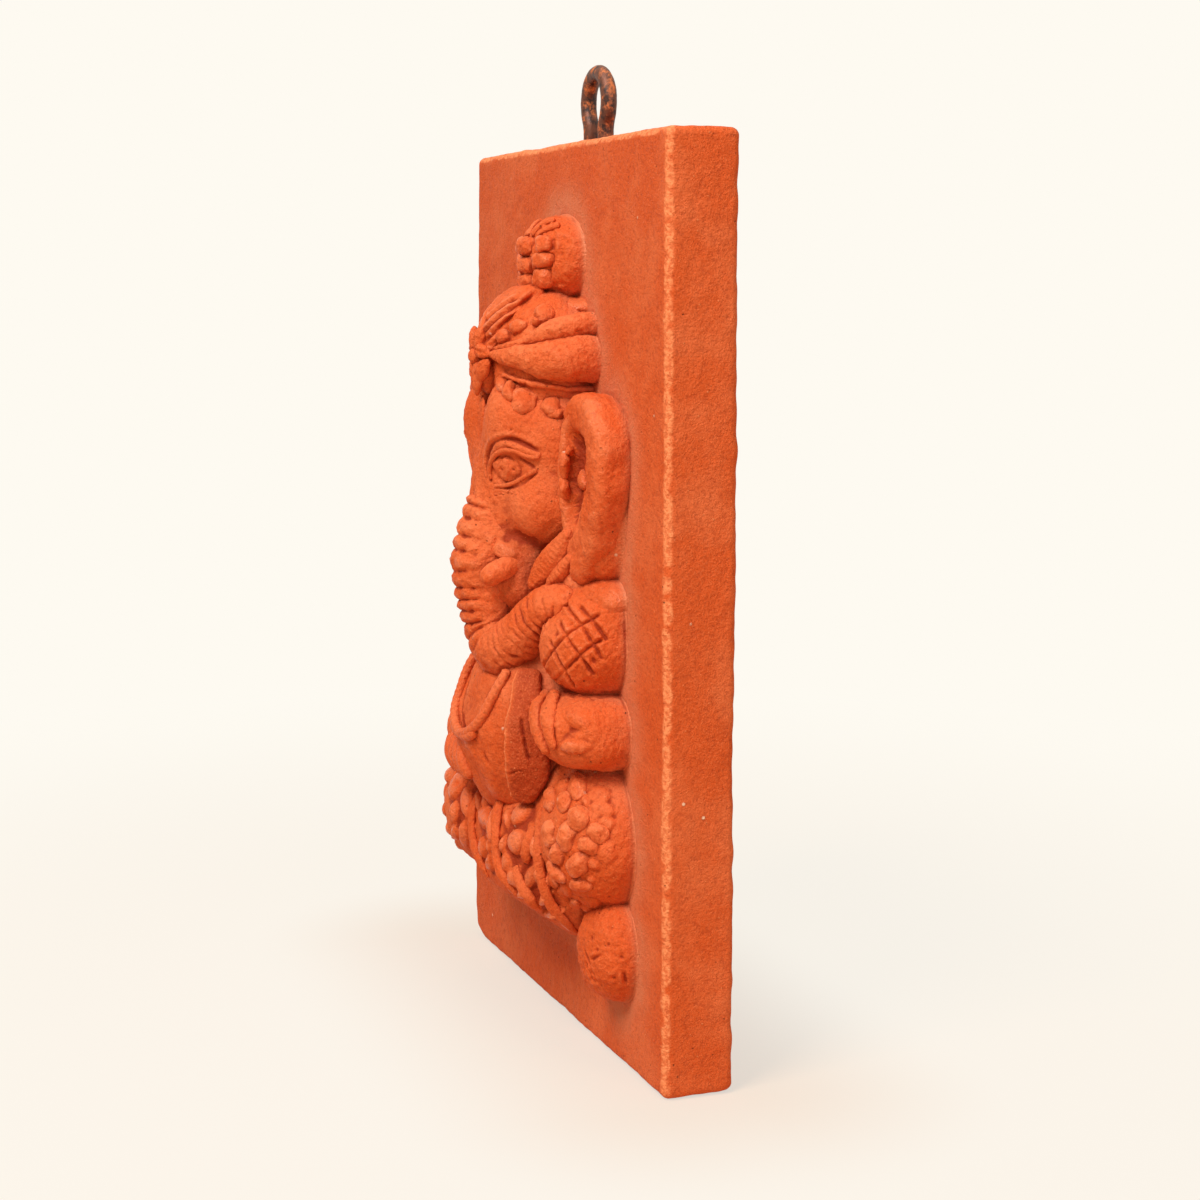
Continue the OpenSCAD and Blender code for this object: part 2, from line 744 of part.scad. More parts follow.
module lap_form() egg(lap_c, lap_r, fine);
module lap_cloth() color(clay) pressed() { lap_form(); torso_form(); knee_form(); left_leg_form(); }

// Pleats of the cloth run down over the lap and the folded leg
module pleats_form() {
    for (x = [-lap_w * 0.345 : pleat_gap : lap_w * 0.38])
        roll([for (el = [38, 12, -14, -40])
            concat(skin(lap_c, lap_r, 0, el, 0.4) + [x - el * 0.01 * pleat_gap, -x * x / lap_w * 0.83, 0],
                pleat_gap * [0.283, 0.367])], sides = 8, steps = 2);
}
module lap_pleats() {
    color(clay) pressed() {
        pleats_form();
        lap_form();
        left_leg_form();
        knee_form();
        torso_form();
        sash_form();
    }
}

module left_leg_form() egg(left_leg_c, left_leg_r, fine);
module left_leg() color(clay) pressed() { left_leg_form(); torso_form(); }

module knee_form() egg(knee_c, knee_r, fine);
module right_knee() color(clay) pressed() { knee_form(); torso_form(); }

// Rows of oval pellets over the front of the knee
module right_knee_pellets() {
    color(clay) pressed() {
        for (row = [-2 : 2], i = [-3 : 2])
            let (az = 24 * i + 12 * abs(row % 2), el = 23 * row)
            egg(skin(knee_c, knee_r, az, el), [0.34, 0.34, 0.5] * pellet_l, coarse, [0, 20 * i, az]);
        knee_form();
        torso_form();
        lap_form();
        pleats_form();
        hand_form();
        foot_form();
        sash_form();
    }
}

module foot_form() egg(foot_c, foot_r, fine);
module right_foot() color(clay) pressed() { foot_form(); knee_form(); }

back_slab();
hanging_loop();
torso();
head();
turban_cap();
topknot();
topknot_braid();
topknot_collar();
turban_crest();
right_lower_fold();
left_lower_fold();
right_upper_fold();
left_upper_fold();
turban_rim();
right_turban_beads();
left_turban_beads();
turban_brooch();
right_brow_beads();
left_brow_beads();
forehead_mark();
right_eye();
left_eye();
right_eyelids();
left_eyelids();
right_tusk();
left_tusk();
trunk();
right_ear();
left_ear();
right_earring();
left_earring();
right_shawl();
left_shawl();
right_upper_arm();
left_upper_arm();
left_forearm();
left_hand();
right_hand();
sweet();
necklace();
right_sash_end();
lap_cloth();
lap_pleats();
left_leg();
right_knee();
right_knee_pellets();
right_foot();
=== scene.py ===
import bpy
import numpy as np
from mathutils import Matrix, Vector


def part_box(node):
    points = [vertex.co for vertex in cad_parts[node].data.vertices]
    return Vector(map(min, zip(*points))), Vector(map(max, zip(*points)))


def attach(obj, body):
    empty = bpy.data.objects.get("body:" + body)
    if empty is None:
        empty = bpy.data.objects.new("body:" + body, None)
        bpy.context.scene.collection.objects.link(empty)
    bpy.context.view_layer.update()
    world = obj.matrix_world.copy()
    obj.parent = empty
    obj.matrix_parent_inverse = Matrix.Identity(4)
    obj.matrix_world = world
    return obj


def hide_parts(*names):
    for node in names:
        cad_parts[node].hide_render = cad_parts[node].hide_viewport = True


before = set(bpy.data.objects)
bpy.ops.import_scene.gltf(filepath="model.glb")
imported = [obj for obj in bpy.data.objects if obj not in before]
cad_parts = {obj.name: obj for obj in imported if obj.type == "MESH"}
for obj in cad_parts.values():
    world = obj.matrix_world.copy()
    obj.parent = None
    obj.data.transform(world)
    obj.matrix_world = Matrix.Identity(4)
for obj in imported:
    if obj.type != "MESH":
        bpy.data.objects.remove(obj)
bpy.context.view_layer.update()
mm = 0.001  # lengths here are millimetres, and meshes are in metres
print("frame loaded,", len(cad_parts), "nodes")

photoView = {  # where the photograph was taken from: millimetres, degrees, pixels
    "place": (485.94, -177.04, 168.85),
    "azimuth": 69.795,
    "pitch": 7.935,
    "focal": 2264.2,
    "side": 1200,
    "sensor": 36.0,
}
turn, tip = np.radians([photoView["azimuth"], photoView["pitch"]])
viewBack = np.array([np.sin(turn) * np.cos(tip), -np.cos(turn) * np.cos(tip), np.sin(tip)])
viewRight = np.array([np.cos(turn), np.sin(turn), 0.0])
viewUp = np.cross(viewBack, viewRight)
viewPlace = np.array(photoView["place"])


def setUp(name, data, right, up, back, spot):
    # a camera or lamp at a spot of the frame, looking away from its back
    holder = bpy.data.objects.new(name, data)
    bpy.context.scene.collection.objects.link(holder)
    place = Matrix(np.stack([right, up, back], 1).tolist()).to_4x4()
    place.translation = (np.array(spot) * mm).tolist()
    holder.matrix_world = place
    return holder


def addCamera():
    lens = bpy.data.cameras.new("photo_camera")
    lens.sensor_width = photoView["sensor"]
    lens.lens = photoView["focal"] / photoView["side"] * photoView["sensor"]
    lens.clip_start = 10 * mm
    bpy.context.scene.camera = setUp("photo_camera", lens, viewRight, viewUp, viewBack, viewPlace)


addCamera()


# The figure is worked out in its own directions: across from its axis, out from the slab's front, and up
def corners(node):
    # low and high corner of a node's box, in millimetres of the frame
    return tuple(np.array(corner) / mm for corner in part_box(node))


slabLow, slabHigh = corners("back_slab")
loopLow, loopHigh = corners("hanging_loop")
axisX = (loopLow[0] + loopHigh[0]) / 2
frontY = slabLow[1]
flip = np.array([1.0, -1.0, 1.0])
origin = np.array([axisX, frontY, 0.0])
eyeSpot = (viewPlace - origin) * flip
eyeRight, eyeUp = viewRight * flip, viewUp * flip


def toFrame(p):
    # the figure's directions turned into the frame's
    return p * flip + origin


def shown(p):
    # the pixel at which the photograph shows each point, and how far off it is
    off = toFrame(p) - viewPlace
    depth = -(off @ viewBack)
    scale = photoView["focal"] / depth
    half = photoView["side"] / 2
    return half + scale * (off @ viewRight), half - scale * (off @ viewUp), depth


def middle(node):
    # height of the middle of a node
    low, high = corners(node)
    return (low[2] + high[2]) / 2


def raised(points, node):
    # points whose heights are measured from the middle of a node
    points = np.array(points, float)
    points[:, 2] += middle(node)
    return points


def unit(v):
    # the same directions, each one long
    return v / (np.linalg.norm(v, axis=-1, keepdims=True) + 1e-12)


def smooth(points, count, crowd=0.0):
    # a cubic through the points, even along its length, or crowded towards its ends
    points = np.array(points, float)
    gaps = np.linalg.norm(np.diff(points[:, :3], axis=0), axis=1) + 1e-4
    knots = np.concatenate([[0], np.cumsum(gaps)])
    slope = np.gradient(points, knots, axis=0)
    share = np.linspace(0, 1, count)
    share = share * (1 - crowd) + crowd * (1 - np.cos(np.pi * share)) / 2
    run = share * knots[-1]
    i = np.clip(np.searchsorted(knots, run, side="right") - 1, 0, len(gaps) - 1)
    gap = gaps[i][:, None]
    s = ((run - knots[i]) / gaps[i])[:, None]
    return (points[i] * (1 - s) ** 2 * (1 + 2 * s) + points[i + 1] * s ** 2 * (3 - 2 * s)
            + gap * slope[i] * s * (1 - s) ** 2 - gap * slope[i + 1] * s ** 2 * (1 - s))


def wobble(p, seed, size):
    # unevenness of about one unit with lumps of that size: a sum of waves in seeded directions
    draw = np.random.default_rng(seed)
    waves = unit(draw.normal(size=(24, 3))) * (2 * np.pi / size) * draw.uniform(0.6, 1.4, (24, 1))
    return np.sin(p @ waves.T + draw.uniform(0, 2 * np.pi, 24)).sum(-1) / np.sqrt(12)


def egg(centre, half, square=2.0):
    # distance from an egg with these half sizes, close to true near its skin; squarer above a power of two
    centre, half = np.array(centre, float), np.array(half, float)

    def field(p):
        share = np.abs(p - centre) / half
        near = (share ** square).sum(-1) ** (1 / square) + 1e-6
        slope = np.linalg.norm((share / near[..., None]) ** (square - 1) / half, axis=-1) + 1e-9
        return (near - 1) / slope

    return field


def eggs(forms, up):
    # eggs given by centre and half sizes, with their heights measured from up
    return [egg((a, o, up + z), half) for (a, o, z), half in forms]


def limb(points):
    # distance from a chain of tapering rods; each point gives across, out, up and radius
    points = np.array(points, float)

    def field(p):
        best = np.full(p.shape[:-1], 1e3)
        for start, end in zip(points[:-1], points[1:]):
            rod = end[:3] - start[:3]
            share = np.clip((p - start[:3]) @ rod / (rod @ rod), 0, 1)
            gap = np.linalg.norm(p - start[:3] - share[..., None] * rod, axis=-1)
            best = np.minimum(best, gap - start[3] - share * (end[3] - start[3]))
        return best

    return field


def soften(first, second, soft):
    # the lesser of two distances, rounded over where they are within soft of each other
    lean = np.clip(soft - np.abs(first - second), 0, None) / soft
    return np.minimum(first, second) - lean ** 2 * soft / 4


def union(fields, soft):
    # several forms run together, each join rounded over by soft
    def field(p):
        total = fields[0](p)
        for other in fields[1:]:
            total = soften(total, other(p), soft)
        return total

    return field


def twin(field):
    # the same form on both sides of the figure's middle
    def both(p):
        folded = p.copy()
        folded[..., 0] = np.abs(p[..., 0])
        return field(folded)

    return both


def seated(field, soft=0.9, sink=1.2, dip=0.3):
    # the form run softly into the slab's front, ending just under that surface
    def joined(p):
        shape = field(p)
        foot = soften(shape, p[..., 1] + dip, soft)
        return np.maximum(np.maximum(foot, shape - soft), -p[..., 1] - sink)

    return joined


def facing(p):
    # outward directions of a grid closed along its columns, with a pole at each end
    n = np.cross(np.roll(p, -1, 1) - np.roll(p, 1, 1), np.gradient(p, axis=0))
    if ((p - p.mean((0, 1))) * n).sum() < 0:
        n = -n
    n[0], n[-1] = n[1].mean(0), n[-2].mean(0)
    return unit(n)


def nearest(p, path):
    # distance of each point from a line, and how far along the line its nearest point is
    gap = np.full(p.shape[:-1], 99.0)
    along = np.zeros(p.shape[:-1])
    room = 4.0
    close = ((p > path.min(0) - room) & (p < path.max(0) + room)).all(-1)
    spots = p[close]
    best, where = gap[close], along[close]
    count = len(path) - 1
    for i, (start, end) in enumerate(zip(path[:-1], path[1:])):
        rod = end - start
        share = np.clip((spots - start) @ rod / (rod @ rod + 1e-9), 0, 1)
        off = np.linalg.norm(spots - start - share[:, None] * rod, axis=1)
        better = off < best
        best = np.where(better, off, best)
        where = np.where(better, (i + share) / count, where)
    gap[close], along[close] = best, where
    return gap, along


def eased(p, times):
    # the grid averaged with its neighbours, over and over
    for rounds in range(times):
        p = (p + np.roll(p, 1, 1) + np.roll(p, -1, 1)) / 3
        p = np.concatenate([p[:1], (p[:-2] + p[1:-1] + p[2:]) / 3, p[-1:]])
    return p


def dome(ring):
    # height of a round lump at a share of its radius, steep at its edge
    return np.clip(1 - ring ** 2, 0, 1) ** 0.7


class Skin:
    # a closed grid of points: rows run from pole to pole, columns close on themselves
    def __init__(self, points, paired=False):
        self.p = points
        self.n = facing(points)
        self.paired = paired  # lines laid on one side also go on the other
        self.dust = None  # worked out from the relief unless set
        self.wearAndHighlight = None  # paler clay where set: the slab's pale edges, and a painted highlight on some pieces
        self.paintedShade = None  # painted shade where set: darker clay
        self.depth = 0.4  # how far below its surroundings a point counts as hollow

    def folded(self):
        # the points, with a paired skin's far side laid over its near side
        return np.abs(self.p[..., :1]) * [1, 0, 0] + self.p * [0, 1, 1] if self.paired else self.p

    def push(self, amount):
        # every point moved outwards by its own amount
        way = unit(eased(self.n, 5))  # eased, so that a deep mark on a rough skin stays clean
        self.p = self.p + way * amount[..., None]
        self.n = facing(self.p)
        return self

    def rough(self, seed, broad=0.16, fine=0.06):
        # hand-worked unevenness in long and short swells, dying out at the slab
        free = np.clip(self.p[..., 1] / 2.0, 0, 1)
        return self.push(free * (broad * wobble(self.p, seed, 9.0) + fine * wobble(self.p, seed + 1, 1.9)
                                 + 0.5 * fine * wobble(self.p, seed + 2, 1.0)))

    def paintedHighlight(self):
        # clay painted paler all over, a painted highlight
        self.wearAndHighlight = np.full(self.p.shape[:-1], 0.4)
        return self

    def find(self, pixels):
        # the points of the skin that the photograph shows at these pixels
        x, y, depth = shown(self.p)
        away = ((eyeSpot - self.p) * self.n).sum(-1) < 0
        miss = np.where(away, 1e4, 0) + 0.3 * (depth - depth.min())
        best = [np.argmin((x - u) ** 2 + (y - v) ** 2 + miss) for u, v in pixels]
        return self.p.reshape(-1, 3)[best], self.n.reshape(-1, 3)[best]

    def line(self, pixels):
        # a line of the photograph laid on the skin
        pixels = np.array(pixels, float)
        length = np.linalg.norm(np.diff(pixels, axis=0), axis=1).sum()
        path, n = self.find(smooth(pixels, max(5, int(length / 6))))
        for rounds in range(2):
            path[1:-1] = (path[:-2] + 2 * path[1:-1] + path[2:]) / 4
            n[1:-1] = n[:-2] + 2 * n[1:-1] + n[2:]
        both = smooth(np.concatenate([path, unit(n)], 1), 3 * len(path))
        return both[:, :3], unit(both[:, 3:])

    def score(self, lines, wide, deep, lip=0.25, taper=0.12):
        # lines pressed into the skin with a slight lip, or raised where deep is below nought
        cut = np.zeros(self.p.shape[:-1])
        edge = np.zeros(self.p.shape[:-1])
        for pixels in lines:
            gap, along = nearest(self.folded(), self.line(pixels)[0])
            fade = np.sqrt(np.clip(np.minimum(along, 1 - along) / taper, 0.02, 1))
            cut = np.maximum(cut, fade * np.exp(-(gap / wide) ** 2))
            edge = np.maximum(edge, fade * np.exp(-(gap / wide - 2.1) ** 2))
        return self.push(deep * (lip * edge * (1 - cut) - cut))

    def out(self, across, up):
        # how far out the skin stands at a place on the figure's front
        behind = np.where(self.n[..., 1] < 0, 99, 0)
        miss = (self.p[..., 0] - across) ** 2 + (self.p[..., 2] - up) ** 2 + behind
        return self.p[..., 1].ravel()[np.argmin(miss)]

    def dent(self, x, y, wide, deep):
        # a soft hollow round a pixel, or a swelling where deep is below nought
        spot = self.find([(x, y)])[0][0]
        off = np.linalg.norm(self.folded() - spot, axis=-1)
        return self.push(-deep * np.exp(-(off / wide) ** 2))

    def swell(self, spots, moat=0.25, leaf=False):
        # lumps with a pressed edge: pixel, width and height in pixels, tilt, and how far each stands out
        # a lump is a dome, a leaf is a roof that narrows to a point at both ends
        lift = np.zeros(self.p.shape[:-1])
        groove = np.zeros(self.p.shape[:-1])
        for x, y, wide, tall, tilt, proud in spots:
            spot, n, right, up = patch(self, x, y, wide, tall, tilt)
            off = self.folded() - spot
            side, along = np.abs(off @ right) / (right @ right), np.abs(off @ up) / (up @ up)
            away = np.abs(off @ n) / 6
            if leaf:
                girth = np.clip(1 - along ** 2, 0, 1)
                ring = side / np.maximum(girth, 0.05) + np.clip(along - 0.9, 0, 9) * 5 + away
                height = np.clip(1 - ring, 0, 1) ** 0.8 * girth ** 0.5
            else:
                ring = np.hypot(side, along) + away
                height = dome(ring)
            lift = np.maximum(lift, proud * height)
            groove = np.maximum(groove, np.exp(-((ring - 1.08) / 0.2) ** 2))
        return self.push(lift - moat * groove * np.clip(1 - lift / 0.3, 0, 1))

    def domes(self, spots, proud):
        # round lumps at points on the skin, each with its radius
        lift = np.zeros(self.p.shape[:-1])
        for spot, wide in spots:
            ring = np.linalg.norm(self.p - spot, axis=-1) / wide
            lift = np.maximum(lift, proud * dome(ring))
        return self.push(lift)

    def trim(self, start, end):
        # lifts whatever hangs below a straight line of the photograph up to that line
        x, y, depth = shown(self.p)
        below = y - start[1] - (x - start[0]) * (end[1] - start[1]) / (end[0] - start[0])
        self.p[..., 2] += np.clip(below, 0, None) * depth / photoView["focal"]
        self.n = facing(self.p)
        return self

    def press(self, pixels, deep, soft):
        # a recess inside an outline of the photograph, on the side that it shows
        x, y, depth = shown(self.p)
        seen = ((eyeSpot - self.p) * self.n).sum(-1) > 0
        spots = np.array(pixels, float)
        inside = np.full(x.shape, 99.0)
        for start, end in zip(spots, np.roll(spots, -1, 0)):
            way = unit(end - start)
            inside = np.minimum(inside, (x - start[0]) * -way[1] + (y - start[1]) * way[0])
        share = np.clip(inside / soft, 0, 1) * seen
        return self.push(-deep * share ** 2 * (3 - 2 * share))


def patch(carrier, x, y, wide, tall, tilt):
    # the point of a skin under a pixel, its outward direction, and half sizes in pixels laid along it
    steepest = 0.4  # skin seen more edge-on than this is stretched no further
    spot, n = (v[0] for v in carrier.find([(x, y)]))
    right = unit(eyeRight - n * (eyeRight @ n))
    up = np.cross(n, right)
    up = up * np.sign(up @ eyeUp)
    pixel = np.linalg.norm(eyeSpot - spot) / photoView["focal"]
    halfWide = wide / 2 * pixel / max(abs(right @ eyeRight), steepest)
    halfTall = tall / 2 * pixel / max(abs(up @ eyeUp), steepest)
    lean = np.radians(tilt)
    return (spot, n, (right * np.cos(lean) + up * np.sin(lean)) * halfWide,
            (up * np.cos(lean) - right * np.sin(lean)) * halfTall)


def globe(rows, cols):
    # directions round a point, most columns looking out from the slab
    front = 0.84  # share of the columns in the front arc
    frontArc, backArc = np.radians([220, 140])
    lat = np.linspace(0, np.pi, rows + 1)[:, None]
    share = np.arange(cols) / cols
    ahead = share / front * frontArc - frontArc / 2
    behind = frontArc / 2 + (share - front) / (1 - front) * backArc
    lon = np.where(share < front, ahead, behind)[None, :]
    return np.stack([np.sin(lat) * np.sin(lon), np.sin(lat) * np.cos(lon), np.cos(lat) + 0 * lon], -1)


def lump(centre, field, reach, rows, cols, paired=False):
    # along each direction from the centre, the point where the field first turns negative coming inward
    ways = globe(rows, cols)
    centre = np.array(centre, float)
    far = np.full(ways.shape[:-1], float(reach))
    for rounds in range(30):
        far = np.maximum(far - 0.85 * field(centre + ways * far[..., None]), 0.3)
    return Skin(centre + ways * far[..., None], paired)


def mound(node, form, reach, rows, cols, square=2.0, start=0, soft=0.9):
    # an egg pressed on the slab, its grid spread from a point at start out from the slab
    (a, o, z), half = form
    up = middle(node) + z
    return lump((a, start, up), seated(egg((a, o, up), half, square), soft), reach, rows, cols)


def tube(points, face, around, along, square=2.0, crowd=0.55):
    # an oval carried along a smooth line, closing in a half round at both ends
    # each point gives across, out, up, half width and half thickness, which points along face
    line = smooth(points, along, crowd)
    mid = line[:, :3]
    way = unit(np.gradient(mid, axis=0))
    face = np.array(face, float)
    if face.ndim == 2:
        face = smooth(np.concatenate([np.array(points, float)[:, :3], face], 1), along, crowd)[:, 3:]
    side = unit(np.cross(way, np.broadcast_to(face, mid.shape)))
    lift = np.cross(side, way)
    run = np.concatenate([[0], np.cumsum(np.linalg.norm(np.diff(mid, axis=0), axis=1))])
    near = np.minimum(run / line[0, 4], (run[-1] - run) / line[-1, 4])
    shut = np.sqrt(1 - (1 - np.clip(near, 0, 1)) ** 2)[:, None]
    angle = np.linspace(0, 2 * np.pi, around, endpoint=False)[None, :]
    reach = (np.abs(np.cos(angle)) ** square + np.abs(np.sin(angle)) ** square) ** (-1 / square)
    across, out = reach * np.cos(angle), reach * np.sin(angle)
    skin = Skin(mid[:, None] + side[:, None] * (line[:, 3:4] * shut * across)[..., None]
                + lift[:, None] * (line[:, 4:5] * shut * out)[..., None])
    skin.run = np.broadcast_to(run[:, None], skin.p.shape[:-1])
    skin.angle = np.broadcast_to(angle, skin.p.shape[:-1])
    return skin


def spaced(values, count):
    # a value, or a few values spread evenly, at each of so many points
    values = np.atleast_1d(values)
    return np.interp(np.linspace(0, 1, count), np.linspace(0, 1, len(values)), values)


def rollOn(carrier, pixels, wide, thick, sink=0.3, lean=0.0, **sizes):
    # a roll of clay laid on a skin along a line of the photograph, its face turned to the camera by lean
    path, n = carrier.line(pixels)
    toEye = unit(eyeSpot - path)
    n = unit(n * np.cos(np.radians(lean)) + toEye * np.sin(np.radians(lean)))
    halves = np.stack([spaced(wide, len(path)), spaced(thick, len(path))], 1)
    mid = path + n * (halves[:, 1:] * (1 - 2 * sink))
    keep = np.unique(np.linspace(0, len(path) - 1, max(4, len(path) // 3)).astype(int))
    return tube(np.concatenate([mid, halves], 1)[keep], n[keep], **sizes)


def pellet(carrier, x, y, wide, tall, proud, tilt=0.0, seed=0, rows=26, cols=40, square=2.3):
    # an egg of clay pressed on a skin at a pixel; wide and tall are its size in the photograph's pixels
    spot, n, right, up = patch(carrier, x, y, wide, tall, tilt)
    deep = max(1.6 * proud, 0.5 * np.sqrt(min(right @ right, up @ up)))
    lat = np.linspace(0, np.pi, rows + 1)[:, None]
    lon = np.linspace(0, 2 * np.pi, cols, endpoint=False)[None, :]
    ways = np.stack([np.sin(lat) * np.cos(lon), np.sin(lat) * np.sin(lon), np.cos(lat) + 0 * lon], -1)
    ways = ways / (np.abs(ways) ** square).sum(-1, keepdims=True) ** (1 / square)
    centre = spot + n * (proud - deep)
    off = carrier.folded() - spot
    ring = np.hypot(off @ right / (right @ right), off @ up / (up @ up)) + np.abs(off @ n) / 6
    carrier.push(-0.2 * np.exp(-((ring - 0.95) / 0.22) ** 2))  # pressed edge round it
    skin = Skin(centre + ways @ np.stack([right, up, n * deep]))
    return skin.push(0.13 * wobble(skin.p, seed + 40, 3.0) + 0.03 * wobble(skin.p, seed + 41, 1.2))


spread = 1.1  # beads are pressed this much wider than they look


class Shade:
    # one shader socket: sums written on it add Math nodes to its tree
    def __init__(self, tree, socket=None):
        self.tree, self.socket = tree, socket

    def node(self, kind, settings=None, inputs=None, out=0):
        # a node of any kind: its settings are set first, then its sockets get values or links
        made = self.tree.nodes.new("ShaderNode" + kind)
        for key, value in (settings or {}).items():
            setattr(made, key, value)
        for key, value in (inputs or {}).items():
            if isinstance(value, Shade):
                self.tree.links.new(value.socket, made.inputs[key])
            else:
                made.inputs[key].default_value = value
        return Shade(self.tree, made.outputs[out] if len(made.outputs) else None)

    def sum(self, operation, first, second):
        return self.node("Math", {"operation": operation}, {0: first, 1: second})

    def __add__(self, other):
        return self.sum("ADD", self, other)

    def __radd__(self, other):
        return self.sum("ADD", other, self)

    def __sub__(self, other):
        return self.sum("SUBTRACT", self, other)

    def __rsub__(self, other):
        return self.sum("SUBTRACT", other, self)

    def __mul__(self, other):
        return self.sum("MULTIPLY", self, other)

    def __rmul__(self, other):
        return self.sum("MULTIPLY", other, self)

    def rise(self, low, high):
        # 0 below low, 1 above high, eased between
        return self.node("MapRange", {"interpolation_type": "SMOOTHSTEP"},
                         {"Value": self, "From Min": low, "From Max": high})

    def noise(self, size, detail=3.0, rough=0.55):
        # clouds whose lumps are about this many millimetres across, read at this place
        return self.node("TexNoise", None, {"Vector": self, "Scale": 1 / (size * mm), "Detail": detail,
                                            "Roughness": rough})

    def specks(self, gap, inner, outer, cluster, rare):
        # clustered spots a gap of millimetres apart, solid to inner and gone at outer, in parts of that gap
        off = self.node("TexVoronoi", None, {"Vector": self, "Scale": 1 / (gap * mm)})
        return (1 - off.rise(inner, outer)) * self.noise(cluster).rise(rare, 0.62)

    def mark(self, name):
        # a value that the piece's own mesh carries
        return self.node("Attribute", {"attribute_name": name}, out="Fac")

    def plainly(self):
        # 1 for rays that are to show the plain background: from the camera, in a shine and through glass
        camera, shine, glass = (self.node("LightPath", out=f"Is {kind} Ray")
                                for kind in ("Camera", "Glossy", "Transmission"))
        return self.sum("MAXIMUM", self.sum("MAXIMUM", camera, shine), glass)

    def tint(self, first, second, share):
        # a share of the second colour over the first
        return self.node("Mix", {"data_type": "RGBA"}, {0: share, 6: first, 7: second}, 2)


def paint(red, green, blue):
    # a colour as a screen shows it, in the linear values that shaders take
    share = np.array([red, green, blue]) / 255
    return (*np.where(share > 0.04045, ((share + 0.055) / 1.055) ** 2.4, share / 12.92).tolist(), 1.0)


def newMaterial(name):
    made = bpy.data.materials.new(name)
    made.use_nodes = True
    made.node_tree.nodes.clear()
    return made, Shade(made.node_tree)


clay = {
    # the pale colour and the paler worn one also lay painted highlights, and the deep one lays painted
    # shade
    "body": paint(213, 85, 29),
    "pale": paint(229, 116, 66),
    "deep": paint(150, 42, 12),
    "dust": paint(216, 128, 88),
    "wornAndHighlight": paint(246, 146, 92),
    "fleck": paint(247, 206, 172),
    "pit": paint(88, 30, 14),
    "cloud": 17.0,  # sizes of what mottles it, millimetres
    "blotch": 3.4,
    "coarse": 0.95,
    "grain": 0.42,
    "flecks": (6.5, 0.035, 0.075, 11.0, 0.5),  # gap, inner and outer size, size and rarity of clusters
    "chips": (1.9, 0.06, 0.13, 4.0, 0.48),
    "pits": (2.4, 0.05, 0.1, 6.0, 0.5),
    "bump": 0.4,  # depth of the grain, millimetres
    "roughness": 0.72,
    "rubbed": 0.38,  # how much less rough raised clay is
    "gloss": 0.3,
    "shine": (1.0, 0.82, 0.66, 1.0),
}


def terracotta():
    made, shade = newMaterial("fired_terracotta")
    place = shade.node("TexCoord", out="Object")
    cloud = place.noise(clay["cloud"], 4.0)
    blotch = place.noise(clay["blotch"], 4.0, 0.6)
    coarse = place.noise(clay["coarse"], 2.0, 0.6)
    grain = place.noise(clay["grain"], 2.0, 0.6)
    flecks, chips, pits = (place.specks(*clay[kind]) for kind in ("flecks", "chips", "pits"))
    # painted shade: low marks hollows and deep adds hemmed-in places, and the colour below darkens both
    low = shade.mark("hollow").rise(0.03, 0.4)
    # painted highlight: raised clay is paler in the colour below, and it is also less rough
    high = (0 - shade.mark("hollow")).rise(0.15, 0.9)
    deep = shade.sum("MAXIMUM", low * 0.85, shade.mark("crevice").rise(0.18, 0.5) * 0.55)
    dusty = shade.mark("dust").rise(0.05, 0.9)
    wornAndHighlight = shade.mark("wearAndHighlight").rise(0.2, 1.0)
    # paler clay in clouds, and a painted highlight on raised clay
    colour = shade.tint(clay["body"], clay["pale"], cloud.rise(0.4, 0.68) * 0.6 + high * 0.6 + 0.08)
    # darker blotches, and painted shade where the piece marks it
    colour = shade.tint(colour, clay["deep"], blotch.rise(0.5, 0.78) * 0.14 + shade.mark("paintedShade") * 0.75)
    colour = shade.tint(colour, clay["pale"], grain.rise(0.5, 0.66) * 0.4)
    colour = shade.tint(colour, clay["deep"], (1 - coarse.rise(0.3, 0.5)) * 0.3)
    colour = shade.tint(colour, clay["dust"], dusty * (0.3 + 0.8 * blotch))
    # painted shade in hollows and hemmed-in places
    colour = shade.tint(colour, clay["deep"], deep)
    # the slab's pale edges, and painted highlights on the sash's edge, the turban folds and the knee's
    # pellets
    colour = shade.tint(colour, clay["wornAndHighlight"], wornAndHighlight * (0.35 + 0.65 * coarse.rise(0.4, 0.6)))
    colour = shade.tint(colour, clay["wornAndHighlight"], chips * 0.65)
    colour = shade.tint(colour, clay["fleck"], flecks * 0.85)
    colour = shade.tint(colour, clay["pit"], pits * 0.75)
    surface = 0.6 * grain + 0.9 * coarse + 0.5 * blotch - 1.2 * pits + 0.5 * flecks + 0.3 * chips
    bump = shade.node("Bump", None, {"Strength": 1.0, "Distance": clay["bump"] * mm, "Height": surface})
    finish = shade.node("BsdfPrincipled", None, {
        "Base Color": colour, "Roughness": clay["roughness"] - clay["rubbed"] * high,
        "Normal": bump, "Specular IOR Level": clay["gloss"], "Specular Tint": clay["shine"]})
    shade.node("OutputMaterial", None, {"Surface": finish})
    return made


rust = {
    "iron": paint(104, 60, 41),
    "dark": paint(52, 33, 27),
    "orange": paint(208, 116, 62),
    "crust": 2.6,  # sizes of the rust patches, dark spots and grit, millimetres
    "spot": 1.6,
    "grit": 0.5,
    "bump": 0.12,  # depth of the crust, millimetres
}


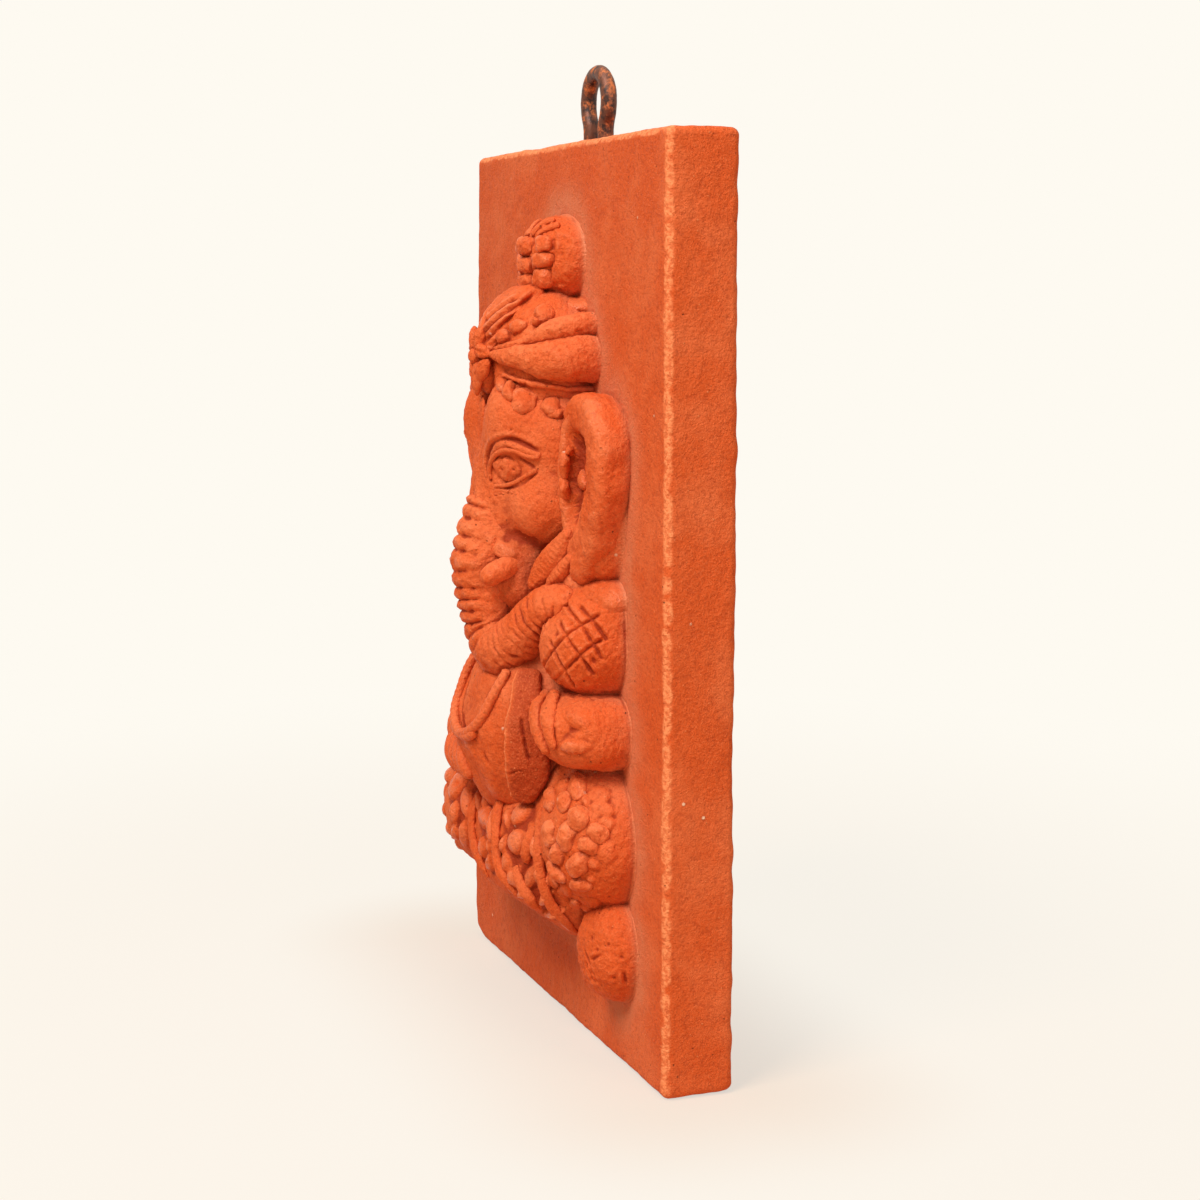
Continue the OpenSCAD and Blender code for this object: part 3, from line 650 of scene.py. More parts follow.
def rustedIron():
    made, shade = newMaterial("rusted_iron")
    place = shade.node("TexCoord", out="Object")
    crust = place.noise(rust["crust"], 5.0, 0.65)
    grit = place.noise(rust["grit"], 3.0, 0.6)
    bloom = (crust + 0.25 * grit).rise(0.6, 0.8)
    colour = shade.tint(rust["iron"], rust["dark"], place.noise(rust["spot"]).rise(0.45, 0.65))
    colour = shade.tint(colour, rust["orange"], bloom)
    surface = crust + 0.6 * grit
    bump = shade.node("Bump", None, {"Strength": 0.7, "Distance": rust["bump"] * mm, "Height": surface})
    finish = shade.node("BsdfPrincipled", None, {
        "Base Color": colour, "Roughness": 0.5 + 0.35 * bloom,
        "Metallic": 0.5 - 0.45 * bloom, "Normal": bump})
    shade.node("OutputMaterial", None, {"Surface": finish})
    return made


finishes = {"terracotta": terracotta(), "iron": rustedIron()}
print("finishes made")


def gridFaces(rows, cols):
    # two poles and the rings between them: a fan at each pole, and four-sided faces between rings
    ring = 1 + np.arange((rows - 1) * cols).reshape(rows - 1, cols)
    ahead = np.roll(ring, -1, 1)
    quads = np.stack([ring[:-1], ahead[:-1], ahead[1:], ring[1:]], -1).reshape(-1, 4)
    last = 1 + (rows - 1) * cols
    first = np.stack([np.zeros(cols, int), ahead[0], ring[0]], -1)
    final = np.stack([ring[-1], ahead[-1], np.full(cols, last)], -1)
    return quads, np.concatenate([first, final])


pieces = []  # name, skins and finish of every piece, made into meshes at the end


def addPiece(name, *skins, slot="terracotta"):
    pieces.append((name, skins, slot))


def allSkins():
    return [skin for name, skins, slot in pieces for skin in skins]


def packed(grid):
    # the grid's values in the order of its mesh, with one point for each pole
    return np.concatenate([grid[0, :1], grid[1:-1].reshape(-1, *grid.shape[2:]), grid[-1, :1]])


def makeMesh(name, skins, slot):
    # one mesh of closed grids, each point marked with how hollow, hemmed in and dusty it is, how much paler
    # clay and painted highlight it has, and how much painted shade
    spots, quads, fans, count = [], [], [], 0
    values = {"hollow": [], "crevice": [], "dust": [], "wearAndHighlight": [], "paintedShade": []}
    for skin in skins:
        # hollow: darkened in the clay's colour as painted shade, and where below nought lightened as a
        # painted highlight
        low = ((eased(skin.p, 11) - skin.p) * skin.n).sum(-1) / skin.depth
        dust = skin.dust
        if dust is None:
            out = np.clip(skin.p[..., 1], 0, None)
            recess = np.clip((relief(skin.p) - out - 1.5) / 9, 0, 1)
            dust = np.maximum(np.exp(-out / 1.3), recess)
        p = packed(toFrame(skin.p)) * mm
        four, three = gridFaces(skin.p.shape[0] - 1, skin.p.shape[1])
        a, b, c = (p[four[:, i]] - p.mean(0) for i in range(3))
        if (a * np.cross(b, c)).sum() < 0:
            four, three = four[:, ::-1], three[:, ::-1]
        spots.append(p)
        values["hollow"].append(packed(eased(low[..., None], 2)[..., 0]))
        for label, grid in (("wearAndHighlight", skin.wearAndHighlight), ("paintedShade", skin.paintedShade)):
            values[label].append(packed(0 * low if grid is None else grid))
        # hemmed in: darkened in the clay's colour as painted shade
        values["crevice"].append(packed(crowd(skin.p, skin.n)))
        values["dust"].append(packed(dust))
        quads.append(four + count)
        fans.append(three + count)
        count += len(p)
    p, quads, fans = np.concatenate(spots), np.concatenate(quads), np.concatenate(fans)
    mesh = bpy.data.meshes.new(name)
    mesh.vertices.add(len(p))
    mesh.vertices.foreach_set("co", p.astype(np.float32).ravel())
    mesh.loops.add(quads.size + fans.size)
    order = np.concatenate([quads.ravel(), fans.ravel()])
    mesh.loops.foreach_set("vertex_index", order.astype(np.int32))
    mesh.polygons.add(len(quads) + len(fans))
    starts = np.concatenate([np.arange(len(quads)) * 4, quads.size + np.arange(len(fans)) * 3])
    mesh.polygons.foreach_set("loop_start", starts.astype(np.int32))
    mesh.polygons.foreach_set("use_smooth", np.ones(len(starts), bool))
    mesh.update(calc_edges=True)
    for label, grids in values.items():
        layer = mesh.attributes.new(label, "FLOAT", "POINT")
        marks = np.clip(np.concatenate(grids), -1.5, 1.5)
        layer.data.foreach_set("value", marks.astype(np.float32))
    mesh.materials.append(finishes[slot])
    piece = bpy.data.objects.new(name + "_skin", mesh)
    bpy.context.scene.collection.objects.link(piece)
    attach(piece, "root")
    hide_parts(name)


def mirrored(skins):
    # the same skins on the other side of the figure's middle
    twins = []
    for skin in skins:
        other = Skin(skin.p * [-1.0, 1.0, 1.0])
        other.dust, other.wearAndHighlight, other.paintedShade = skin.dust, skin.wearAndHighlight, skin.paintedShade
        twins.append(other)
    return twins


def addPair(name, *skins):
    addPiece("right_" + name, *skins)
    addPiece("left_" + name, *mirrored(skins))


def leafOf(across, up, wide, tall, lean, out, proud=1.3):
    # a pointed leaf with a sunk middle line: a lens whose width shrinks towards its tips
    t = np.linspace(-1, 1, 46)[:, None]
    angle = np.linspace(0, 2 * np.pi, 44, endpoint=False)[None, :]
    girth = (1 - np.abs(t) ** 2.2) ** 0.8
    side, lift = wide * girth * np.cos(angle), proud * girth ** 0.8 * np.sin(angle)
    lift = lift - 0.3 * proud * np.exp(-(side / (0.22 * wide)) ** 2) * girth * (np.sin(angle) > 0)
    turnBy = np.radians(lean)
    a = side * np.cos(turnBy) - tall * t * np.sin(turnBy)
    z = side * np.sin(turnBy) + tall * t * np.cos(turnBy)
    return Skin(np.stack([across + a, out + lift - (across + a) ** 2 / 26, up + z], -1))


# Each piece of the figure has its sizes in a dictionary. Places are across, out and up, and up is measured
# from the middle of the piece's node. Numbers in the hundreds are pixels of the photograph

# Topknot: a ball of hair with two plaits of pellets down its front, on a low collar
knot = {
    "ball": ((0, -0.4, 0.2), (13.2, 9.6, 9.9)),  # centre and half sizes, as for every egg here
    "square": 2.12,
    "parting": [(552, 228), (553, 247), (551, 267), (545, 290)],
    # pixel, width and height
    "pellets": [(544.5, 243.5, 17, 17), (541.7, 260.3, 18, 16), (541.7, 279, 18, 21)],
    "middlePellets": [(0.6, 3.0, 2.0), (0.9, -1.2, 2.0), (0.9, -5.0, 2.3)],  # across, up, half height
    "middleOut": 8.6,
    "strips": [[(560, 226), (548, 229), (538, 236)], [(556, 221), (541, 225), (533, 236)]],
    "collar": ((0, 0, -1.4), (14.2, 7.0, 3.0)),
    "collarDust": 0.3,
}


def makeTopknot():
    ball = mound("topknot", knot["ball"], 26, 110, 160, knot["square"], 1).rough(3, 0.2, 0.09)
    ball.score([knot["parting"]], 0.5, 0.55)
    plait = [pellet(ball, x, y, wide, tall, 1.4, seed=i, square=2.8)
             for i, (x, y, wide, tall) in enumerate(knot["pellets"])]
    plait += [rollOn(ball, line, 0.75, 0.6, around=24, along=60) for line in knot["strips"]]
    for a, z, half in knot["middlePellets"]:
        spot = (a, knot["middleOut"], middle("topknot") + z)
        plait.append(lump(spot, egg(spot, (2.7, 2.2, half), 2.6), 5, 40, 60).rough(7, 0.1, 0.08))
    addPiece("topknot", ball)
    addPiece("topknot_braid", *plait, *mirrored(plait))
    collar = mound("topknot_collar", knot["collar"], 24, 70, 150, soft=1.2).rough(5)
    collar.dust = np.full(collar.p.shape[:-1], knot["collarDust"])
    addPiece("topknot_collar", collar)


# Turban: a cap, folds running back from a brooch, a ribbed crest, a rim, and strings of beads
turban = {
    "cap": [((0, 5, -4.5), (19, 13, 16.5)), ((0, 5, 0.5), (18, 12, 12.5))],
    "lower": [(2.4, 18.8, 1.0, 0.7, 1.0), (8, 17.8, 0.9, 1.5, 1.6), (14, 14.4, 0.4, 3.0, 2.5),
              (18.4, 9.0, 0.2, 4.5, 3.5), (19.8, 3.5, 0.2, 5.1, 3.8), (19.0, -3, 0.2, 5.2, 3.7)],
    "upper": [(3.0, 18.4, -4.4, 0.6, 0.9), (8, 16.8, -3.8, 0.9, 1.3), (13, 13.4, -2.6, 1.3, 1.9),
              (16.9, 8.4, -0.2, 2.3, 2.7), (18.0, 3.0, 0.9, 2.8, 3.1), (17.4, -3, 1.2, 2.8, 3.1)],
    "crest": [(0, 18.2, -9.0, 4.6, 2.0), (0, 17.6, -4.0, 6.0, 2.6), (0, 14.8, 1.6, 7.0, 2.8),
              (0, 10.8, 5.2, 7.4, 2.8), (0, 5.5, 6.6, 7.2, 2.6)],
    "crestFrom": (0, 6, -8),  # the point that the crest's outside looks away from
    "ribs": [[(480.7, 326.3), (498.9, 308), (518.6, 296.8)],
             [(482, 334.7), (503, 312), (524, 303.8), (535.4, 292.6)],
             [(483.5, 341.7), (506, 322), (522.8, 312.2), (529.8, 303.8)]],
    "rim": [(503, 375), (520, 380.5), (543, 385), (570, 388.5), (595, 387.5)],
    # pixel, width, height and tilt
    "beads": [(489, 357, 8, 8, 0), (492.5, 347, 9, 9, 0), (505, 338, 13, 14, 0), (519, 326, 15, 15, 0),
              (536.7, 322, 9, 10, 0), (544, 313, 19, 17, 0), (549.5, 328, 23, 12, 20)],
    # pixel, width and height
    "browBeads": [(502, 383, 10, 16), (508.7, 391, 11, 21), (525, 400, 25, 25), (551, 406, 17, 20),
                  (557, 414, 18, 10)],
}


def turbanFold(points, node, seed):
    # a flat roll whose face looks straight out of the cap's oval
    points = raised(points, node)
    (across, out, up), (wide, deep, tall) = turban["cap"][0]
    face = (points[:, :3] - [across, out, 0]) * [1 / wide ** 2, 1 / deep ** 2, 0]
    # the fold is painted paler all over, a painted highlight
    return tube(points, face, 72, 150, 2.2).rough(seed, 0.14, 0.06).paintedHighlight()


def makeTurban(head):
    up = middle("turban_cap")
    cap = lump((0, 3, up - 4), seated(union(eggs(turban["cap"], up), 4)), 34, 130, 220, True).rough(11)
    addPair("lower_fold", turbanFold(turban["lower"], "right_lower_fold", 13))
    addPair("upper_fold", turbanFold(turban["upper"], "right_upper_fold", 17))
    beads = [pellet(cap, x, y, spread * wide, spread * tall, 1.8, tilt, seed=60 + i, square=2)
             for i, (x, y, wide, tall, tilt) in enumerate(turban["beads"])]
    addPiece("turban_cap", cap)
    addPair("turban_beads", *beads)
    points = raised(turban["crest"], "turban_crest")
    away = (points[:, :3] - raised([turban["crestFrom"]], "turban_crest")) * [0, 1, 1]
    crest = tube(points, away, 110, 150, 2.4)
    crest.paired = True
    crest.rough(19, 0.08, 0.04).score(turban["ribs"], 0.55, 0.9)
    addPiece("turban_crest", crest)
    rim = rollOn(cap, turban["rim"], 0.65, 0.75, around=24, along=160).rough(23, 0.05, 0.04)
    addPiece("turban_rim", rim, *mirrored([rim]))
    brow = [pellet(head, x, y, spread * wide, spread * tall, 1.2, seed=80 + i, square=2.2)
            for i, (x, y, wide, tall) in enumerate(turban["browBeads"])]
    addPair("brow_beads", *brow)


# Brooch: leaves set round a knob where the folds meet
brooch = {
    # across, up, half width, half height and lean
    "leaves": [(0, -4.3, 2.3, 4.6, 0), (2.9, -3.0, 1.7, 3.4, -42), (3.2, 1.2, 1.6, 2.8, 75),
               (1.7, 3.6, 1.5, 3.2, -22)],
    "out": 20.8,
    "knob": 1.9,
    "base": ((0, 17, -2.6), (3.4, 4.2, 6.0)),
}


def makeBrooch():
    up = middle("turban_brooch")
    size, out = brooch["knob"], brooch["out"]
    leaves = [leafOf(a, up + z, wide, tall, lean, out) for a, z, wide, tall, lean in brooch["leaves"]]
    leaves += mirrored(leaves[1:])
    knob = lump((0, out, up), egg((0, out, up), (size, size, size)), 5, 40, 60)
    (a, o, z), half = brooch["base"]
    base = lump((a, o, up + z), egg((a, o, up + z), half), 8, 50, 70)
    addPiece("turban_brooch", *[skin.rough(29, 0.05, 0.05) for skin in leaves + [knob, base]])


# Head: brow domes, temples, cheeks and muzzle run together, with the eye, mark and tusk set on it
face = {
    "forms": [((0, 0, 4.0), (21, 20, 22)), ((0, 7, -15), (10, 12, 11)), ((7.4, 13, 11.7), (8, 8.3, 11)),
              ((11.6, 4, 8.2), (9.3, 11, 13)), ((12.6, 7.8, -5.8), (7.9, 9.4, 8.4)),
              ((5, 11, -17.5), (8, 8.5, 6)), ((0, 0, -12), (13, 10, 14)), ((5.5, 10.5, -23), (8, 8.5, 8)),
              ((19.5, 2.4, -1), (4.5, 5.4, 15))],
    "snout": [(0, 12.5, 4, 8.0), (0, 12.6, -6, 9.6), (0, 12.4, -14, 10.2), (0, 11.8, -21, 9.6),
              (0, 11.5, -26, 8.4)],  # across, out, up and radius
    "muzzle": (-9, 7),  # the skin is rougher below this height and beyond this far out
    "parting": [(473.7, 398), (471.6, 450), (473, 503)],
    "eyeCrease": [(491.2, 483.8), (487.7, 469.8), (487, 458.6), (488.4, 447.3), (496, 439.6),
                  (507.3, 437.8), (518.6, 441), (529.8, 447.3), (541, 452.3)],
    "eyeFold": [(515.8, 456.5), (527, 464), (536.8, 465.6), (534, 469.8)],
    "lowCrease": [(493.3, 485), (506, 488.7), (518.6, 486), (529.8, 478), (538, 471)],
    "cheek": [(489, 514.7), (499, 528.7), (513, 537), (529.8, 541), (546.6, 531.5), (556.5, 520)],
    "mouth": [[(502.5, 541), (508, 546), (517, 550), (525, 551.5)],
              [(493, 556.7), (503, 561), (511.7, 567.5)]],
    "lip": (504, 551, 30, 20, -12, 0.8),  # pixel, width, height, tilt and how far it stands out
    "chin": ((12, 12, -20), 6.0),  # middle and reach of the painted shade under the mouth
    "upperLid": [(491.5, 480), (490, 467), (493, 456), (501, 450), (511, 448.5), (521, 453), (531, 459),
                 (540, 457)],
    "lidBand": [(506, 443.5), (517, 446.5), (528, 452), (541, 455)],
    "lowerLid": [(495, 486), (507, 485.5), (518, 482.5), (527, 475), (537, 469.5)],
    "eye": (507.4, 468.4, 31, 29),  # pixel, width and height
    "pupil": (500.3, 470.5),
    "corner": (513, 470),
    "glint": [(504.5, 457), (508.8, 469), (506, 479)],
    "mark": (2.0, 5.0),  # half width and half height
    "lashes": [(495 + 4.2 * i, 492 + 0.6 * abs(i - 3)) for i in range(6)],
    "tusk": [(9.4, 13.6, 1.6, 2.2, 2.2), (10.2, 16.8, 1.0, 2.4, 2.4), (10.6, 20.4, -0.4, 2.35, 2.35),
             (10.4, 23.0, -2.2, 2.1, 2.1)],
}


def makeHead():
    up = middle("head")
    forms = eggs(face["forms"], up) + [limb(raised(face["snout"], "head"))]
    head = lump((0, 1, up), seated(twin(union(forms, 3.2)), 2.0), 42, 245, 285, True)
    below, beyond = face["muzzle"]
    muzzle = np.clip((up + below - head.p[..., 2]) / 5, 0, 1) * np.clip((head.p[..., 1] - beyond) / 4, 0, 1)
    head.push(muzzle * (0.06 * wobble(head.p, 33, 2.4) + 0.03 * wobble(head.p, 34, 1.1)))
    head.score([face["parting"]], 0.9, 0.55, lip=0.05)
    head.score([face["eyeCrease"]], 0.5, 0.85)
    head.score([face["lowCrease"], face["eyeFold"]], 0.4, 0.5)
    head.score([face["cheek"]], 1.4, 0.35, lip=0.1)
    head.swell([face["lip"]], 0.1)
    head.score(face["mouth"], 0.45, 0.55, lip=0.1)
    (a, o, z), wide = face["chin"]
    # painted shade under the mouth
    head.paintedShade = np.exp(-((head.folded() - [a, o, up + z]) ** 2).sum(-1) / wide ** 2)
    head.rough(31, 0.1, 0.04)
    x, y, wide, tall = face["eye"]
    head.dent(x, y, 3.4, 0.9)
    lids = [rollOn(head, face["upperLid"], 0.62, 0.6, around=28, along=120),
            rollOn(head, face["lidBand"], [0.5, 0.75, 0.5], 0.4, around=24, along=80),
            rollOn(head, face["lowerLid"], 0.5, 0.45, around=24, along=100)]
    lids += [pellet(head, u, v, 3.0, 2.6, 0.18, rows=10, cols=14) for u, v in face["lashes"]]
    ball = pellet(head, x, y, wide, tall, 1.7, rows=60, cols=90, square=2.0)
    ball.dent(*face["pupil"], 0.75, 0.9)
    ball.dent(*face["corner"], 0.7, 0.6)
    ball.score([face["glint"]], 0.35, -0.3, lip=0)
    addPair("eyelids", *lids)
    addPair("eye", ball)
    up = middle("forehead_mark")
    wide, tall = face["mark"]
    addPiece("forehead_mark", leafOf(0, up, wide, tall, 0, head.out(2, up) - 0.2, 0.9))
    addPair("tusk", tube(raised(face["tusk"], "right_tusk"), (1, 0, 0), 48, 70).rough(37, 0.06, 0.05))
    return head


# Trunk: hangs down the middle, scalloped down its front, then turns up to the sweet with close rings
nose = {
    "path": [(0, 12.8, 20.6, 7.2), (0, 15.0, 13.6, 7.8), (0, 17.4, 7.6, 8.0), (0, 18.6, 1.6, 8.0),
             (0.3, 17.6, -6.6, 7.5), (1.4, 17.0, -13.4, 6.9), (4.6, 16.6, -17.0, 6.5),
             (9.8, 14.9, -15.0, 5.9), (16, 12.4, -9.4, 5.3), (20.5, 10.4, -6.0, 4.9),
             (24, 8.2, -5.4, 4.4), (26.4, 6.0, -8.0, 3.6)],  # across, out, up and radius
    "scallop": 3.0,  # length of one scallop of the front
    "scallopFrom": 5,  # how far down the trunk the scallops begin
    "ring": 2.15,  # length of one ring of the curl
    "curlFrom": 34,  # how far down the trunk the rings begin
}


def makeTrunk():
    points = raised(nose["path"], "trunk")
    trunk = tube(np.concatenate([points, points[:, 3:]], 1), (0, 1, 0.25), 130, 380)
    trunk.rough(41, 0.12, 0.05)
    curl = np.clip((trunk.run - nose["curlFrom"]) / 6, 0, 1)
    wave = trunk.run / nose["scallop"] + 0.03 * wobble(trunk.p, 43, 9)
    scallop = np.abs(np.sin(np.pi * wave)) ** 0.7 - 0.6
    wave = trunk.run / nose["ring"] + 0.12 * wobble(trunk.p, 44, 6)
    rings = (np.abs(np.sin(np.pi * wave)) ** 0.5 - 0.85) * (0.5 + 0.3 * wobble(trunk.p, 47, 5))
    front = np.clip((np.sin(trunk.angle) - 0.5) / 0.4, 0, 1)
    front = front * np.clip((trunk.run - nose["scallopFrom"]) / 2, 0, 1)
    pebbles = (0.09 * wobble(trunk.p, 45, 2.4) + 0.04 * wobble(trunk.p, 46, 1.1)) * (1 - 0.7 * curl)
    trunk.push(scallop * front * (1 - curl) + rings * curl + pebbles)
    addPiece("trunk", trunk)


# Ears: a thick rolled rim round a hollow plate, with a thin edge by the cheek and a pendant in the hollow
ear = {
    # across and up
    "rim": [(20.5, 13.2), (24, 16.2), (30, 17.0), (36.0, 13.6), (37.4, 5.7), (34.6, -4.1), (30.6, -11.5),
            (26.6, -15.6), (23.0, -15.0)],
    "rimOut": 3.4,
    "rimHalf": (4.4, 4.5),
    "edge": [(25.0, 6.2, 16.8, 1.8), (22.6, 7.2, 14, 1.6), (22, 7.7, 6, 1.5), (22, 7.7, 2, 1.5),
             (22.3, 7.5, -3.5, 1.5), (23, 7.0, -9.5, 1.6), (24.4, 6.2, -16, 1.7)],
    "plate": ((28, 0, 0), (11, 5.0, 19)),
    "lobe": ((28.0, 0.5, -11.0), (8.2, 7.2, 8.8)),
    # pixel, width and height
    "pendant": [(567.7, 464, 11, 30), (578, 471, 10, 34), (563.5, 489.5, 12, 22), (571, 449, 8, 10)],
}


def makeEar():
    up = middle("right_ear")
    points = [(a, ear["rimOut"], up + z, *ear["rimHalf"]) for a, z in ear["rim"]]
    rim = tube(points, (0, 1, 0), 84, 190, 3.0).rough(51, 0.2, 0.06)
    forms = eggs([ear["plate"], ear["lobe"]], up) + [limb(raised(ear["edge"], "right_ear"))]
    plate = lump((27, -6, up), seated(union(forms, 2.0), 1.2), 34, 165, 235)
    plate.rough(53, 0.1, 0.06)
    pendant = [pellet(plate, x, y, wide, tall, 1.5, seed=100 + i, square=2).rough(57, 0.05, 0.04)
               for i, (x, y, wide, tall) in enumerate(ear["pendant"])]
    addPair("ear", rim, plate)
    addPair("earring", *pendant)


# Body: belly and chest, with a rope necklace, a sash end and shawl ends over it
body = {
    "forms": [((0, 0, -7.9), (24, 25, 26)), ((0, 0, 18.1), (23, 16, 16)), ((19, 1, 25), (11, 8.5, 9))],
    "rope": [(510, 671), (502, 683.5), (489, 707), (476.5, 727), (466.7, 735.4), (458, 732.6),
             (454, 718.6)],
    "ropeHalf": 1.15,
    "ropeTwist": 1.5,
    "chest": (8, 1.1),  # inside the necklace and this far out, the chest lies this much lower
    "hollow": (466, 705),  # a dent in the chest
    "slit": [(482, 750), (485, 757), (489.5, 768)],
    "sash": [(531, 670), (527, 698), (528, 722), (529, 748), (528, 774), (524, 797)],
    "sashHalf": [2.6, 3.3, 4.7, 5.2, 4.6, 2.6],
    "sashThick": [1.4, 1.9, 2.2, 2.1],
    "sashSlit": [(521, 718), (523.5, 735), (527, 752), (531, 765)],
    "sashCrack": [(508.5, 775), (514, 772), (520, 769), (523, 772)],
    "shawl": [[(24.5, 7.0, 8.1, 1.5), (21, 9.5, 2.6, 2.8), (17.5, 11.3, -1.6, 2.8), (14, 12.6, -5.4, 1.4)],
              [(25.5, 6.5, 3.1, 1.2), (22, 8.8, -1.4, 1.9), (18.5, 10.4, -4.6, 1.2)]],
    "shawlThick": 1.6,
    "shawlNotch": 1.15,  # length of one notch along its rib
    "shawlFace": (0.75, 0.6, 0.2),
}


def makeBody():
    up = middle("torso")
    torso = lump((0, 0, up), seated(union(eggs(body["forms"], up), 6)), 48, 180, 220).rough(61, 0.16, 0.05)
    edge = torso.line(body["rope"][:5])[0][::-1]
    limit = np.interp(torso.p[..., 2], edge[:, 2], edge[:, 0], left=0)
    beyond, lower = body["chest"]
    inside = np.clip((limit - np.abs(torso.p[..., 0])) / 2.5, 0, 1)
    inside = inside * np.clip((torso.p[..., 1] - beyond) / 3, 0, 1)
    torso.push(-lower * inside ** 2 * (3 - 2 * inside))
    torso.score([body["slit"]], 0.5, 0.6)
    torso.dent(*body["hollow"], 3.2, 0.9)
    rope = rollOn(torso, body["rope"], body["ropeHalf"], body["ropeHalf"], around=28, along=300)
    rope.push(0.045 * np.sin(2 * np.pi * rope.run / body["ropeTwist"] + 2 * rope.angle))
    addPiece("necklace", rope, *mirrored([rope]))
    sash = rollOn(torso, body["sash"], body["sashHalf"], body["sashThick"], 0.05, 40,
                  around=130, along=200, square=3.6).rough(67, 0.12, 0.05)
    # painted light, set by where each ring shows in view: the face is darkened as painted shade, and the
    # edge furthest left is made paler as a painted highlight
    shownX = shown(sash.p)[0]
    share = (shownX - shownX.min(1, keepdims=True)) / np.ptp(shownX, 1, keepdims=True)
    sash.paintedShade = np.clip(share / 0.15, 0, 1) * 0.8
    sash.wearAndHighlight = np.exp(-(share / 0.05) ** 2) * 0.7
    sash.score([body["sashSlit"]], 0.3, 0.9, lip=0.1)
    sash.score([body["sashCrack"]], 0.25, 0.45, lip=0.1)
    addPiece("right_sash_end", sash)
    shawl = []
    for leaf in body["shawl"]:
        points = raised([(*point, body["shawlThick"]) for point in leaf], "right_shawl")
        strip = tube(points, body["shawlFace"], 64, 130)
        rib = np.clip((np.sin(strip.angle) - 0.85) / 0.1, 0, 1)
        strip.push(rib * (0.05 * np.sin(2 * np.pi * strip.run / body["shawlNotch"]) + 0.16))
        shawl.append(strip.rough(69, 0.08, 0.03))
    addPair("shawl", *shawl)
    addPiece("torso", torso)


# Right hand, the sweet on it, and the arms
arms = {
    "sweet": [((26.5, 0, 0.8), (12.9, 14.6, 11.9)), ((26.5, 0, 8.8), (12, 8.4, 7))],
    "hatch": [[(563.5, 600.7), (574.7, 616), (583, 627.4), (593, 644), (602.8, 661)],
              [(559.3, 621.7), (567.7, 638.6), (580.3, 656.8), (594.3, 676.5)],
              [(549.4, 640), (556.5, 655.4), (564.9, 670.8), (576, 687.7)],
              [(600, 614.7), (581.7, 624.5), (566.3, 635.8), (552.2, 649.8), (543.8, 669.4)],
              [(604, 638.6), (591.5, 645.6), (579, 656.8), (564.9, 670.8), (555, 680.7)],
              [(562, 600.7), (550.8, 613.3), (542.4, 638.6)],
              [(579, 606), (594, 623), (608, 641)]],
    "dots": [(572, 624.5), (556.5, 633), (594, 661)],
    "hand": ((27, 0, -0.5), (15.2, 15.4, 8.6)),
    "fingers": [[(546, 692), (538.5, 704), (536.5, 718), (540, 735), (550, 752)],
                [(556, 693), (550.5, 706), (549.5, 720), (551, 735), (557, 750)]],
    "fingerHalf": [1.4, 1.9, 1.9, 1.7, 1.1],
    "palm": [(555, 706), (569, 713), (582, 721), (596, 738), (578, 742), (566, 747), (556, 752)],
    # pixel, width, height, tilt and how far each stands out
    "mound": [(574, 748, 36, 15, 5, 0.9), (555, 696, 13, 12, 0, 0.6)],
    "rightArm": ((25, 0, 0.3), (14, 7.4, 5.6)),
    "leftArm": [(-17, 5.2, 6.6, 4.2, 4.2), (-24, 5.6, 3.4, 5.2, 5.2), (-30, 5.6, -3.4, 5.2, 5.2),
                (-31.4, 6.4, -12.4, 5.0, 5.0)],
    "forearm": [(-31.4, 6.0, 13.4, 4.8, 4.8), (-32.0, 9.5, 1.0, 5.2, 5.2), (-27.6, 15.0, -6.6, 4.7, 4.7),
                (-20.5, 17.6, -8.6, 4.0, 4.0)],
    "leftHand": ((-11.2, 19.4, 0), (9.8, 4.6, 6.0)),
    "leftFingers": [  # across, out and up from the hand, radius, and step to the next finger
        (-4, 2.6, 3.4, 1.7, 3.0), (-1, 4.2, -0.6, 1.8, 3.1), (1.4, 2.8, -4.6, 1.6, 2.9)],
}


def makeArms():
    up = middle("sweet")
    a, o, z = arms["sweet"][0][0]
    ball = lump((a, 1, up + z), seated(union(eggs(arms["sweet"], up), 3)), 28, 195, 255)
    ball.score(arms["hatch"], 0.42, 0.8, lip=0.3, taper=0.05)
    for x, y in arms["dots"]:
        ball.dent(x, y, 0.8, 0.5)
    addPiece("sweet", ball.rough(71, 0.14, 0.05))
    hand = mound("right_hand", arms["hand"], 30, 180, 240, 2.8, 1)
    hand.press(arms["palm"], 1.4, 16)
    hand.swell(arms["mound"], 0.1).rough(73, 0.14, 0.06)
    digits = [rollOn(hand, line, arms["fingerHalf"], 1.2, around=44, along=110) for line in arms["fingers"]]
    addPiece("right_hand", hand, *[digit.rough(75, 0.1, 0.06) for digit in digits])
    arm = mound("right_upper_arm", arms["rightArm"], 24, 90, 150).rough(76, 0.2, 0.06)
    addPiece("right_upper_arm", arm)
    for name, points in (("left_upper_arm", arms["leftArm"]), ("left_forearm", arms["forearm"])):
        addPiece(name, tube(raised(points, name), (0, 1, 0), 80, 130).rough(77, 0.2, 0.06))
    (a, o, z), half = arms["leftHand"]
    up = middle("left_hand") + z
    palm = lump((a, o, up), egg((a, o, up), half), 16, 90, 130).rough(79, 0.2, 0.06)
    fingers = [tube([(a + side + i * step, o + out, up + rise, girth, girth)
                     for side, out, rise, girth, step in arms["leftFingers"]], (0, 1, 0), 40, 60)
               for i in range(4)]
    addPiece("left_hand", palm, *fingers)


